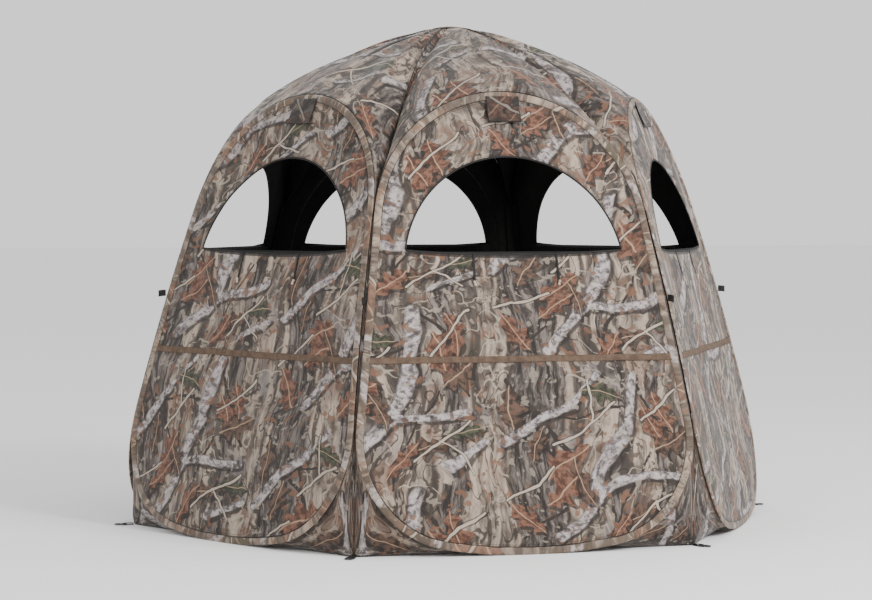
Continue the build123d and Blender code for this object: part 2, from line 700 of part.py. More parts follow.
STAKE_RING_WIDTH = STAKE_LOOP_WIDTH + 2 * (STAKE_RING_BAR + STAKE_LOOP_PLAY)
slot_width = STAKE_LOOP_WIDTH + 2 * STAKE_LOOP_PLAY
ring_start = STAKE_BAR_END - STAKE_RING_BAR
ring_length = STAKE_SLOT_END + STAKE_RING_BAR - ring_start
with BuildPart() as stake_ring:
    with BuildSketch(Plane.XY.offset(WEBBING + STAKE_LOOP_PLAY)):
        with Locations((0, -(ring_start + STAKE_SLOT_END + STAKE_RING_BAR) / 2)):
            RectangleRounded(STAKE_RING_WIDTH, ring_length, STAKE_RING_BAR / 2)
        with Locations((0, -STAKE_HOLE_R)):
            Circle(STAKE_HOLE_RADIUS + STAKE_RING_BAR)
        with Locations((0, -(STAKE_BAR_END + STAKE_SLOT_END) / 2)):
            Rectangle(slot_width, STAKE_SLOT_END - STAKE_BAR_END, mode=Mode.SUBTRACT)
        with Locations((0, -STAKE_HOLE_R)):
            Circle(STAKE_HOLE_RADIUS, mode=Mode.SUBTRACT)
    extrude(amount=STAKE_RING_THICKNESS)

save_group([on_corner(stake_loop.part, corner) for corner in range(SIDES)], "stake_loops")
save_group([on_corner(stake_ring.part, corner) for corner in range(SIDES)], "stake_rings")

# ------------------------------------------------------- door and its zipper
DOOR_HINGE_Z = (DOOR.side_start[1] + DOOR.side_end[1]) / 2
DOOR_HINGE = Axis(
    (-DOOR.side_u(DOOR_HINGE_Z), -wall_n(DOOR_HINGE_Z, DOOR_HINGE_LAYER), DOOR_HINGE_Z),
    (-DOOR.slope, -math.tan(wall_lean(DOOR_HINGE_Z)), -1),
)
door_panel = sheet(
    -CLOTH / 2,
    CLOTH / 2,
    DOOR.inside(CLOTH_EDGE).face(),
    beyond_hinge(DOOR, DOOR_HINGE_GAP),
    holes=[window_face()],
)
save(on_side(door_panel, DOOR_SIDE), "door_panel")

TAPE_LAYER = CLOTH / 2 + LAYER_GAP


def zip_half(near, coil, far, name):
    """One tape with its coil, between two insets of the zipper's line."""
    past_hinge = beyond_hinge(DOOR, ZIP_END)
    teeth = sheet(TAPE_LAYER - ZIP_COIL_DEPTH, TAPE_LAYER, DOOR.ring(*sorted((near, coil))), past_hinge)
    tape = sheet(TAPE_LAYER, TAPE_LAYER + ZIP_TAPE_THICKNESS, DOOR.ring(*sorted((near, far))), past_hinge)
    with BuildPart() as half:
        add(teeth)
        add(tape)
    save(on_side(half.part, DOOR_SIDE), name)


zip_half(ZIP_GAP / 2, COIL_EDGE, ZIP_TAPE, "door_zip")
zip_half(-ZIP_GAP / 2, -COIL_EDGE, -ZIP_TAPE, "frame_zip")

SLIDER_LAYER = TAPE_LAYER + ZIP_TAPE_THICKNESS + LAYER_GAP
SLIDER_UP = Vector(-DOOR.slope, math.tan(wall_lean(SLIDER_Z)), 1).normalized()
SLIDER_OUT = Vector(0, -math.cos(wall_lean(SLIDER_Z)), math.sin(wall_lean(SLIDER_Z)))
SLIDER_PLANE = Plane(
    (DOOR.side_u(SLIDER_Z), -wall_n(SLIDER_Z, SLIDER_LAYER), SLIDER_Z), x_dir=SLIDER_UP, z_dir=SLIDER_OUT
)
PIN_HEIGHT = SLIDER_HEIGHT + PULL_WIDTH / 2 + PULL_PLAY
PIN_PLACE = SLIDER_PLANE.from_local_coords((0, 0, PIN_HEIGHT))
PULL_PIVOT = Axis(PIN_PLACE, SLIDER_PLANE.y_dir)
EAR_PLANE = Plane(PIN_PLACE, x_dir=SLIDER_PLANE.x_dir, z_dir=SLIDER_PLANE.y_dir)
EAR_START = PULL_WIDTH / 2 + PULL_PLAY
with BuildPart() as slider:
    with BuildSketch(SLIDER_PLANE):
        RectangleRounded(SLIDER_LENGTH, SLIDER_WIDTH, SLIDER_WIDTH / 4)
    extrude(amount=SLIDER_HEIGHT)
    for start in (EAR_START, -EAR_START - EAR_THICKNESS):
        with BuildSketch(EAR_PLANE.offset(start)):
            Circle(EAR_RADIUS)
            with Locations((0, PIN_HEIGHT / 2 - SLIDER_HEIGHT / 2)):
                Rectangle(2 * EAR_RADIUS, PIN_HEIGHT - SLIDER_HEIGHT)
            Circle(PIN_RADIUS + PIN_PLAY, mode=Mode.SUBTRACT)
        extrude(amount=EAR_THICKNESS)
save(on_side(slider.part, DOOR_SIDE), "zip_slider")

PULL_PLANE = Plane(PIN_PLACE, x_dir=SLIDER_PLANE.x_dir, z_dir=SLIDER_PLANE.z_dir)
with BuildPart() as pull:
    with BuildSketch(PULL_PLANE.offset(-PULL_THICKNESS / 2)):
        with Locations((-PULL_LENGTH / 2, 0)):
            SlotOverall(PULL_LENGTH + PULL_WIDTH, PULL_WIDTH)
        with Locations((-PULL_LENGTH, 0)):
            Circle(PULL_EYE, mode=Mode.SUBTRACT)
    extrude(amount=PULL_THICKNESS)
    with BuildSketch(EAR_PLANE):
        Circle(PIN_RADIUS)
    extrude(amount=EAR_START + EAR_THICKNESS, both=True)
save(on_side(pull.part, DOOR_SIDE), "zip_pull")
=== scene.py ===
"""The six-sided pop-up ground blind's looks: printed walls on hoops, a domed roof, skirts, covers and trim.

Metres. The front wall faces -Y. On a wall, u runs sideways, z runs up and a layer is a distance outwards.
Cloth is cut flat in u and z, and then hung on the wall's curve and turned to its own side.
"""

import math

import bmesh
import bpy
from mathutils import Matrix, Vector, noise


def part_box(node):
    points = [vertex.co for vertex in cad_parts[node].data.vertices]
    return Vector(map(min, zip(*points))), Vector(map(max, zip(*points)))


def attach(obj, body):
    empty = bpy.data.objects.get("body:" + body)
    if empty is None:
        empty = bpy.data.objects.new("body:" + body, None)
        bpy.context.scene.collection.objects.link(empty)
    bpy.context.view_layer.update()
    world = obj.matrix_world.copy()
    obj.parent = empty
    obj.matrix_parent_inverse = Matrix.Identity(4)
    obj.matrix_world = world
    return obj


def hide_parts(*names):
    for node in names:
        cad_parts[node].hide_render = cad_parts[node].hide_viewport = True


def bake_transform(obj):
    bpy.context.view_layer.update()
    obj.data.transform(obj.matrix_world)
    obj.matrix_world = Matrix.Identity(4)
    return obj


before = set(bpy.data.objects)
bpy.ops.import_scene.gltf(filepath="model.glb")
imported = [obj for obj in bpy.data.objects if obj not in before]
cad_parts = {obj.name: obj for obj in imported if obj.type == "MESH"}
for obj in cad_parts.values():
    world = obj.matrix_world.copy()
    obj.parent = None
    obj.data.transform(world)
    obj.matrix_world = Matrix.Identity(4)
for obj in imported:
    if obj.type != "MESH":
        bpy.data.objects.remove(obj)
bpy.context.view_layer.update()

# ---------------------------------------------------------------- sizes that the cloth follows
SIDE_NAMES = ["front", "front_right", "back_right", "back", "back_left", "front_left"]
SIDES = len(SIDE_NAMES)
TURN = 2 * math.pi / SIDES
DOOR_SIDE = SIDE_NAMES.index("back")
ROOT = "blind"
WINDOW_SIDES = [side for side in range(SIDES) if side != DOOR_SIDE]

HOOP_TOP_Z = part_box("sleeve_front")[1].z
ROOF_TOP_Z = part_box("roof_gore_front")[1].z
WALL_FOOT, WALL_WAIST, WALL_TOP = 1.022, 0.860, 0.650
WAIST_SHARE = 0.52
CONTACT_LOW_Z, CONTACT_HIGH_Z = 0.300, HOOP_TOP_Z - 0.386
CORNER_GAP = 0.0032
FOOT_PRESS = 0.002
HOOP_CORNER_RADIUS, FOOT_RADIUS = 0.330, 1.600
SLEEVE_WIDTH, SLEEVE_THICKNESS = 0.024, 0.009
SILL_Z = HOOP_TOP_Z - 0.501
WINDOW_HALF, WINDOW_RISE = 0.350, 0.290
SILL_SAG = 0.013
DOOR_INSET, DOOR_TOP_DROP, DOOR_FOOT_Z, DOOR_CORNER_RADIUS = 0.062, 0.134, 0.072, 0.250
DOOR_HINGE_GAP, CLOTH_EDGE = 0.006, 0.0037
COVER_LAYER, COVER_LAP, COVER_HINGE_DROP = -0.009, 0.018, 0.008
STRAP_Z, STRAP_WIDTH = 0.595, 0.020
FLAP_WIDTH, FLAP_HEIGHT, FLAP_DROP, FLAP_LAYER = 0.110, 0.084, 0.016, 0.0060
TIE_SPACING, TIE_LENGTH, TIE_WIDTH = 0.270, 0.088, 0.007
SKIRT_SETBACK, SKIRT_START = 0.070, 0.160
GUY_LOOP_Z, GUY_LOOP_REACH, GUY_LOOP_WIDTH = 0.780, 0.024, 0.021
STAKE_LOOP_REACH, STAKE_LOOP_WIDTH, STAKE_LOOP_HEIGHT = 0.0342, 0.0175, 0.0066
CLOTH, SLEEVE_CLOTH, WEBBING = 0.0012, 0.0008, 0.0012
SEAM_ALLOWANCE = 0.008
SEAM_PLAY = 0.0004
MERGE = 0.0003
FINE_MERGE = 0.00002


def circle_through(a, b, c):
    """Centre and radius of the circle through three points."""
    (an, az), (bn, bz), (cn, cz) = a, b, c
    d = 2 * (an * (bz - cz) + bn * (cz - az) + cn * (az - bz))
    a2, b2, c2 = an**2 + az**2, bn**2 + bz**2, cn**2 + cz**2
    n = (a2 * (bz - cz) + b2 * (cz - az) + c2 * (az - bz)) / d
    z = (a2 * (cn - bn) + b2 * (an - cn) + c2 * (bn - an)) / d
    return n, z, math.hypot(an - n, az - z)


WALL_N, WALL_Z, WALL_RADIUS = circle_through(
    (WALL_FOOT, 0), (WALL_WAIST, HOOP_TOP_Z * WAIST_SHARE), (WALL_TOP, HOOP_TOP_Z)
)


def wall_n(z, layer=0.0):
    return WALL_N + math.sqrt((WALL_RADIUS + layer) ** 2 - (z - WALL_Z) ** 2)


def half_side(z):
    return wall_n(z) * math.tan(TURN / 2)


def smooth(low, high, value):
    """From 0 below low to 1 above high, with no corners."""
    share = min(1.0, max(0.0, (value - low) / (high - low)))
    return share * share * (3 - 2 * share)


def on_side(side):
    """Turns a place on the front wall to another side. A side and a half is the corner after it."""
    return Matrix.Rotation(TURN * side, 3, "Z")


class Outline:
    """A nearly flat foot, round lower corners, straight leaning sides and a round top, in u and z."""

    def __init__(self, slope, base, top_z, foot_z, corner_radius, foot_radius):
        self.slope, self.base, self.top_z, self.foot_z = slope, base, top_z, foot_z
        self.corner_radius, self.foot_radius = corner_radius, foot_radius
        self.stretch = math.hypot(1, slope)
        self.top_centre = (top_z * self.stretch - base) / (self.stretch - slope)
        self.top_radius = top_z - self.top_centre
        self.foot_centre = foot_z + foot_radius
        reach = base - corner_radius * self.stretch
        middle = (reach * slope + self.foot_centre) / self.stretch**2
        rest = reach**2 + self.foot_centre**2 - (foot_radius - corner_radius) ** 2
        self.corner_z = middle - math.sqrt(middle**2 - rest / self.stretch**2)
        self.corner_u = reach - slope * self.corner_z
        share = foot_radius / (foot_radius - corner_radius)
        self.foot_end_u = self.corner_u * share
        self.corner_start = math.atan2(self.corner_z - self.foot_centre, self.corner_u)
        self.side_turn = math.atan(slope)

    def side_u(self, z):
        return self.base - self.slope * z

    def inside(self, inset):
        return Outline(
            self.slope,
            self.base - inset * self.stretch,
            self.top_z - inset,
            self.foot_z + inset,
            self.corner_radius - inset,
            self.foot_radius - inset,
        )

    def corner(self, share):
        """A point on the right lower corner's arc, from the foot to the side."""
        turn = self.corner_start + (self.side_turn - self.corner_start) * share
        return (
            self.corner_u + self.corner_radius * math.cos(turn),
            self.corner_z + self.corner_radius * math.sin(turn),
        )

    def lengths(self):
        """Lengths of the foot, corner, side and top, on one half."""
        rise = self.top_centre + self.top_radius * math.sin(self.side_turn) - self.corner(1)[1]
        return [
            self.foot_radius * (math.pi / 2 + self.corner_start),
            self.corner_radius * (self.side_turn - self.corner_start),
            rise * self.stretch,
            self.top_radius * (math.pi / 2 - self.side_turn),
        ]

    def at(self, place):
        """(u, z, outward turn) at a place.

        0 to 1 is the foot's right half, and then come the corner, side and top. Below 0 is the left half.
        """
        left = min(4.0, abs(place))
        part, share = min(3, int(left)), left - min(3, int(left))
        if part == 0:
            turn = -math.pi / 2 + (self.corner_start + math.pi / 2) * share
            centre, radius = (0, self.foot_centre), self.foot_radius
        elif part == 1:
            turn = self.corner_start + (self.side_turn - self.corner_start) * share
            centre, radius = (self.corner_u, self.corner_z), self.corner_radius
        elif part == 2:
            turn = self.side_turn
            low, high = self.corner(1)[1], self.top_centre + self.top_radius * math.sin(turn)
            z = low + (high - low) * share
            centre, radius = (self.side_u(z), z), 0
        else:
            turn = self.side_turn + (math.pi / 2 - self.side_turn) * share
            centre, radius = (0, self.top_centre), self.top_radius
        u, z = centre[0] + radius * math.cos(turn), centre[1] + radius * math.sin(turn)
        return (-u, z, math.pi - turn) if place < 0 else (u, z, turn)

    def depth(self, u, z):
        """How far a point is inside the outline."""
        u = abs(u)
        if z - self.top_centre > self.slope * u:
            return self.top_radius - math.hypot(u, z - self.top_centre)
        away = (u - self.corner_u, z - self.corner_z)
        if away[0] > 0 and away[1] < self.slope * away[0]:
            if math.atan2(away[1], away[0]) > self.corner_start:
                return self.corner_radius - math.hypot(*away)
        side = (self.base - self.slope * z - u) / self.stretch
        return min(side, self.foot_radius - math.hypot(u, z - self.foot_centre))


SIDE_SLOPE = (half_side(CONTACT_LOW_Z) - half_side(CONTACT_HIGH_Z)) / (CONTACT_HIGH_Z - CONTACT_LOW_Z)
SIDE_BASE = half_side(CONTACT_LOW_Z) - CORNER_GAP + SIDE_SLOPE * CONTACT_LOW_Z
HOOP = Outline(SIDE_SLOPE, SIDE_BASE, HOOP_TOP_Z, -FOOT_PRESS, HOOP_CORNER_RADIUS, FOOT_RADIUS)
DOOR = Outline(
    SIDE_SLOPE,
    HOOP.inside(DOOR_INSET).base,
    HOOP_TOP_Z - DOOR_TOP_DROP,
    DOOR_FOOT_Z,
    DOOR_CORNER_RADIUS,
    FOOT_RADIUS,
)
ARCH_RADIUS = (WINDOW_HALF**2 + WINDOW_RISE**2) / (2 * WINDOW_RISE)
ARCH_CENTRE = SILL_Z + WINDOW_RISE - ARCH_RADIUS


# ---------------------------------------------------------------- how cloth hangs on a wall
def hills(u, z, scale, seed):
    """Soft noise from -1 to 1."""
    return noise.noise(Vector((u / scale + seed * 7.3, z / scale - seed * 3.1, seed * 1.7)))


def creases(u, z, scale, seed):
    """Sharp little folds from 0 to 1."""
    return 1 - abs(hills(u, z, scale, seed)) * 2


def ruffle(side, u, z):
    """How far the wall's cloth stands out of its smooth surface."""
    edge = HOOP.depth(u, z)
    taut = smooth(0.0, 0.10, edge)
    billow = 0.0062 * hills(u, z, 0.30, side) + 0.0022 * hills(u, z * 0.5, 0.085, side + 11)
    low = smooth(0.30, 0.08, z) * smooth(0.0, 0.035, edge)
    folds = 0.0058 * low * creases(u * 0.22, z + 0.02 * hills(u, z, 0.5, side), 0.030, side + 21)
    pucker = 0.0011 * hills(u * 1.5, z * 1.5, 0.020, side + 31) * smooth(0.055, 0.012, edge)
    drape = 0.0018 * smooth(0.55, 0.93, z) * smooth(SILL_Z + 0.01, SILL_Z - 0.02, z)
    drape *= hills(u, z * 0.15, 0.075, side + 41)
    zip_flat = smooth(0.016, 0.060, abs(DOOR.depth(u, z))) if side == DOOR_SIDE else 1.0
    return zip_flat * (taut * (billow + drape) + folds + pucker)


def slack(u, z):
    """Where a flat point comes to rest in u and z: the sill sags, and the sides follow the corner."""
    bow = 0.0
    if CONTACT_LOW_Z < z < CONTACT_HIGH_Z:
        bow = max(0.0, half_side(z) - CORNER_GAP - HOOP.side_u(z))
    share = min(1.0, abs(u) / HOOP.side_u(z))
    u += math.copysign(bow * share**4, u)
    across = max(0.0, 1 - (u / WINDOW_HALF) ** 2)
    z -= SILL_SAG * across * smooth(SILL_Z - 0.35, SILL_Z, z) * (z < SILL_Z + 0.02)
    return u, z


def hang(side, u, z, layer=0.0, rough=True):
    """The place of a flat point (u, z) on a wall."""
    raised = layer + (ruffle(side, u, z) if rough else 0.0)
    u, z = slack(u, z) if rough else (u, z)
    turn = math.asin((z - WALL_Z) / WALL_RADIUS)
    n = WALL_N + (WALL_RADIUS + raised) * math.cos(turn)
    point = Vector((u, -n, WALL_Z + (WALL_RADIUS + raised) * math.sin(turn)))
    return on_side(side) @ point


def up_length(z):
    """Length along the wall's curve from the ground."""
    return WALL_RADIUS * (math.asin((z - WALL_Z) / WALL_RADIUS) - math.asin(-WALL_Z / WALL_RADIUS))


# ---------------------------------------------------------------- making pieces
OUT, UP = Vector((0, -1, 0)), Vector((0, 0, 1))


def flat_grid(columns, rows, place):
    """A grid whose every point, as two shares from 0 to 1, is put where place says."""
    bm = bmesh.new()
    bmesh.ops.create_grid(bm, x_segments=columns, y_segments=rows, size=0.5)
    for v in bm.verts:
        v.co = place(v.co.x + 0.5, v.co.y + 0.5)
    return bm


def take_in(bm, other):
    """Adds one bmesh to another."""
    spare = bpy.data.meshes.new("spare")
    other.to_mesh(spare)
    other.free()
    bm.from_mesh(spare)
    bpy.data.meshes.remove(spare)


def weld(bm, distance=MERGE):
    bmesh.ops.remove_doubles(bm, verts=bm.verts[:], dist=distance)


def set_uv(bm, name, where):
    """Writes a UV map from the vertices' places."""
    layer = bm.loops.layers.uv.new(name)
    for face in bm.faces:
        for loop in face.loops:
            loop[layer].uv = where(loop.vert.co)


def piece(name, bm, body, materials, nodes=(), thickness=0.0, offset=-1.0, recalc=True, lined=True):
    """Makes an object of a bmesh, thickens it with its second material inside, and ties it to its body."""
    if recalc:
        bmesh.ops.recalc_face_normals(bm, faces=bm.faces[:])
    mesh = bpy.data.meshes.new(name)
    bm.to_mesh(mesh)
    bm.free()
    obj = bpy.data.objects.new(name, mesh)
    bpy.context.scene.collection.objects.link(obj)
    for material in materials:
        mesh.materials.append(material)
    for polygon in mesh.polygons:
        polygon.use_smooth = True
    if thickness:
        wall = obj.modifiers.new("cloth", "SOLIDIFY")
        wall.thickness = thickness
        wall.offset = offset
        wall.use_even_offset = False
        if lined and len(materials) > 1:
            wall.material_offset = 1
            wall.material_offset_rim = 1
    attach(obj, body)
    if nodes:
        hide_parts(*nodes)
    return obj


def face_to(bm, direction):
    """Makes an open sheet's faces agree, and turns them to a direction."""
    bmesh.ops.recalc_face_normals(bm, faces=bm.faces[:])
    bm.normal_update()
    if sum(face.normal.dot(direction) * face.calc_area() for face in bm.faces) < 0:
        bmesh.ops.reverse_faces(bm, faces=bm.faces[:])


def hang_all(bm, side, lift=0.0, rough=True):
    """Hangs a flat bmesh on a wall. Its own z coordinate is the layer."""
    for v in bm.verts:
        v.co = hang(side, v.co.x, v.co.y, v.co.z + lift, rough)
    face_to(bm, on_side(side) @ OUT)


def cut(bm, point, normal, outer=False):
    """Cuts a flat sheet along a line, and drops what is on one side of it."""
    bmesh.ops.bisect_plane(
        bm,
        geom=bm.verts[:] + bm.edges[:] + bm.faces[:],
        dist=1e-5,
        plane_co=point,
        plane_no=normal,
        clear_outer=outer,
        clear_inner=not outer,
    )


def trim_round(bm, outline, foot_steps=10, corner_steps=20):
    """Cuts a flat sheet to the outline's foot and lower corners."""
    foot_us = [outline.foot_end_u * step / foot_steps for step in range(foot_steps)]
    points = [(u, outline.foot_centre - math.sqrt(outline.foot_radius**2 - u**2)) for u in foot_us]
    points += [outline.corner(step / corner_steps) for step in range(corner_steps + 1)]
    for (u0, z0), (u1, z1) in zip(points, points[1:]):
        for sign in (1, -1):
            cut(bm, Vector((sign * u0, z0, 0)), Vector((sign * (z1 - z0), -(u1 - u0), 0)), outer=True)


def arch_reach(turn, grow=0.0):
    """From the sill's middle to the window's arch, in a direction."""
    drop, radius = SILL_Z - ARCH_CENTRE, ARCH_RADIUS + grow
    return -drop * math.sin(turn) + math.sqrt(radius**2 - (drop * math.cos(turn)) ** 2)


def outline_reach(outline, turn):
    """From the sill's middle to the outline's side or top, in a direction."""
    rise = outline.top_centre - SILL_Z
    top = rise * math.sin(turn) + math.sqrt(outline.top_radius**2 - (rise * math.cos(turn)) ** 2)
    end_z = outline.top_centre + outline.top_radius * math.sin(outline.side_turn)
    if SILL_Z + top * math.sin(turn) >= end_z:
        return top
    return outline.side_u(SILL_Z) / (abs(math.cos(turn)) + outline.slope * math.sin(turn))


def window_cloth(outline, beside=14, between=58, down=64, around=76):
    """A flat wall with its window: a part below the sill, and a part fanned out round the arch."""
    sill_share = WINDOW_HALF / outline.side_u(SILL_Z)
    columns = 2 * beside + between

    def below(a, b):
        step = a * columns
        from_side = min(step, columns - step)
        if from_side < beside:
            share = 1 - (1 - sill_share) * from_side / beside
        else:
            share = sill_share * (1 - 2 * (from_side - beside) / between)
        z = outline.foot_z + (SILL_Z - outline.foot_z) * b
        return Vector((math.copysign(share, a - 0.5) * outline.side_u(z), z, 0))

    def round_arch(a, b):
        turn = math.pi * a
        near, far = arch_reach(turn), outline_reach(outline, turn)
        reach = near + (far - near) * b
        return Vector((reach * math.cos(turn), SILL_Z + reach * math.sin(turn), 0))

    bm = flat_grid(columns, down, below)
    trim_round(bm, outline)
    take_in(bm, flat_grid(around, beside, round_arch))
    weld(bm)
    return bm


# ---------------------------------------------------------------- shader wiring
class Wire:
    """A shader value: a node's output, or a plain constant, that can be added, multiplied and so on."""

    def __init__(self, graph, value):
        self.graph, self.value = graph, value

    def maths(self, operation, *others, clamp=False):
        inputs = dict(enumerate([self.value] + [getattr(other, "value", other) for other in others]))
        return self.graph.node("ShaderNodeMath", {"operation": operation, "use_clamp": clamp}, inputs)

    def __add__(self, other):
        return self.maths("ADD", other)

    def __sub__(self, other):
        return self.maths("SUBTRACT", other)

    def __rsub__(self, other):
        return Wire(self.graph, other).maths("SUBTRACT", self)

    def __mul__(self, other):
        return self.maths("MULTIPLY", other)

    def __truediv__(self, other):
        return self.maths("DIVIDE", other)

    __radd__, __rmul__ = __add__, __mul__

    def size(self):
        return self.maths("ABSOLUTE")

    def sine(self):
        return self.maths("SINE")

    def least(self, other):
        return self.maths("MINIMUM", other)

    def most(self, other):
        return self.maths("MAXIMUM", other)

    def ramp(self, low, high):
        """0 at low and 1 at high, smoothly. Low may be above high."""
        settings = {"interpolation_type": "SMOOTHSTEP"}
        return self.graph.node("ShaderNodeMapRange", settings, {"Value": self.value, 1: low, 2: high})


class Graph:
    """One material's nodes."""

    def __init__(self, name):
        self.material = bpy.data.materials.new(name)
        self.material.use_nodes = True
        self.tree = self.material.node_tree
        self.shader = self.tree.nodes["Principled BSDF"]

    def node(self, kind, settings=None, inputs=None, output=0):
        """Adds a node, sets it up, fills its sockets with values or links, and gives one of its outputs."""
        node = self.tree.nodes.new(kind)
        for key, value in (settings or {}).items():
            setattr(node, key, value)
        for key, value in (inputs or {}).items():
            value = getattr(value, "value", value)
            if isinstance(value, bpy.types.NodeSocket):
                self.tree.links.new(value, node.inputs[key])
            else:
                node.inputs[key].default_value = value
        return Wire(self, node.outputs[output])

    def uv(self, name="cloth"):
        return self.node("ShaderNodeUVMap", {"uv_map": name})

    def object_place(self):
        return self.node("ShaderNodeTexCoord", output="Object")

    def vector(self, operation, *values, output=0):
        return self.node("ShaderNodeVectorMath", {"operation": operation}, dict(enumerate(values)), output)

    def parts(self, place):
        split = self.node("ShaderNodeSeparateXYZ", None, {0: place}).value.node
        return [Wire(self, out) for out in split.outputs]

    def joined(self, x, y, z=0.0):
        return self.node("ShaderNodeCombineXYZ", None, {0: x, 1: y, 2: z})

    def noise(self, place, scale, detail=2.0, rough=0.5, output=0):
        inputs = {"Vector": place, "Scale": scale, "Detail": detail, "Roughness": rough}
        return self.node("ShaderNodeTexNoise", None, inputs, output)

    def mix(self, share, a, b):
        settings = {"data_type": "RGBA"}
        return self.node("ShaderNodeMix", settings, {0: share, 6: a, 7: b}, output=2)

    def bump(self, height, strength, distance):
        inputs = {"Strength": strength, "Distance": distance, "Height": height}
        return self.node("ShaderNodeBump", None, inputs)

    def finish(self, links, **values):
        for key, value in values.items():
            self.shader.inputs[key.replace("_", " ")].default_value = value
        for key, value in links.items():
            self.tree.links.new(getattr(value, "value", value), self.shader.inputs[key])
        return self.material


def colour(red, green, blue):
    return (red, green, blue, 1.0)


# ---------------------------------------------------------------- the woodland print
TILE = (0.68, 0.59)
TILE_SHIFT = 0.21  # each column of tiles starts this much higher than the one before
THREADS = 5200.0
STITCH_LENGTH = 0.006
# Each stroke runs from one point to another of the tile, with its half width.
TRUNKS = [
    (0.125, -0.10, 0.150, 0.70, 0.078),
    (0.560, -0.10, 0.530, 0.70, 0.025),
    (0.385, -0.10, 0.400, 0.70, 0.012),
]
LIMBS = [
    (0.185, 0.045, 0.330, 0.190, 0.022),
    (0.330, 0.190, 0.420, 0.370, 0.026),
    (0.420, 0.370, 0.455, 0.560, 0.020),
    (0.330, 0.190, 0.600, 0.235, 0.015),
    (0.035, 0.330, 0.235, 0.470, 0.017),
    (0.235, 0.470, 0.330, 0.560, 0.010),
    (0.520, 0.045, 0.650, 0.120, 0.012),
]
TWIGS = [
    (0.210, 0.330, 0.370, 0.455, 0.0040),
    (0.300, 0.400, 0.290, 0.540, 0.0032),
    (0.440, 0.060, 0.610, 0.200, 0.0040),
    (0.520, 0.130, 0.600, 0.050, 0.0030),
    (0.030, 0.170, 0.200, 0.255, 0.0038),
    (0.480, 0.400, 0.620, 0.520, 0.0038),
]
DARK_TWIGS = [
    (0.060, 0.040, 0.210, 0.160, 0.0052),
    (0.250, 0.300, 0.060, 0.540, 0.0060),
    (0.610, 0.300, 0.470, 0.540, 0.0056),
    (0.360, 0.050, 0.500, 0.300, 0.0046),
    (0.180, 0.420, 0.420, 0.440, 0.0050),
]
# Each leaf has a centre, a turn, a size and a kind: 0 rust, 1 brown, 2 dull green.
LEAVES = [
    (0.240, 0.275, 0.6, 0.082, 0),
    (0.290, 0.225, 2.0, 0.074, 1),
    (0.215, 0.205, 3.7, 0.070, 0),
    (0.520, 0.395, 5.2, 0.086, 0),
    (0.580, 0.355, 0.5, 0.076, 1),
    (0.560, 0.450, 1.9, 0.072, 0),
    (0.075, 0.455, 1.6, 0.072, 1),
    (0.595, 0.160, 3.3, 0.060, 2),
    (0.465, 0.105, 0.2, 0.074, 1),
    (0.400, 0.075, 4.0, 0.068, 0),
    (0.330, 0.490, 2.9, 0.066, 2),
    (0.085, 0.110, 5.4, 0.072, 0),
    (0.150, 0.330, 4.4, 0.060, 1),
]


def stroke(graph, place, x0, y0, x1, y1, half):
    """Distance from the middle line of a stroke, over its half width, and the length along it."""
    reach = (x1 - x0, y1 - y0, 0.0)
    square = reach[0] ** 2 + reach[1] ** 2
    away = graph.vector("SUBTRACT", place, (x0, y0, 0.0))
    along = graph.vector("DOT_PRODUCT", away, reach, output="Value").maths("DIVIDE", square, clamp=True)
    foot = graph.node("ShaderNodeVectorMath", {"operation": "SCALE"}, {0: reach, "Scale": along})
    return graph.vector("DISTANCE", away, foot, output="Value") / half


def strokes(graph, place, rows):
    """The least of many strokes."""
    least = None
    for row in rows:
        one = stroke(graph, place, *row)
        least = least.least(one) if least else one
    return least


def leaf(graph, place, x, y, turn, size):
    """An oak leaf: 1 inside and 0 outside, and its vein."""
    away = graph.vector("SUBTRACT", place, (x, y, 0.0))
    across = graph.vector("DOT_PRODUCT", away, (-math.sin(turn), math.cos(turn), 0.0), output="Value")
    along = graph.vector("DOT_PRODUCT", away, (math.cos(turn), math.sin(turn), 0.0), output="Value")
    share = along / size
    lobes = (share * 10.5 + across.size() / size * 3.0).sine() * 0.17 + 0.40
    taper = (1.0 - share * share).most(0.0)
    body = taper * lobes - across.size() / size
    vein = (across.size() / size).ramp(0.035, 0.012) * (share * share).ramp(1.3, 1.1)
    return body.ramp(-0.012, 0.022), vein


def shifted(graph, place, by, factor):
    """A place moved by a soft noise."""
    drift = graph.noise(place, by, 1.0, output="Color")
    drift = graph.vector("SUBTRACT", drift, (0.5, 0.5, 0.5))
    drift = graph.node("ShaderNodeVectorMath", {"operation": "SCALE"}, {0: drift, "Scale": factor})
    return graph.vector("ADD", place, drift)


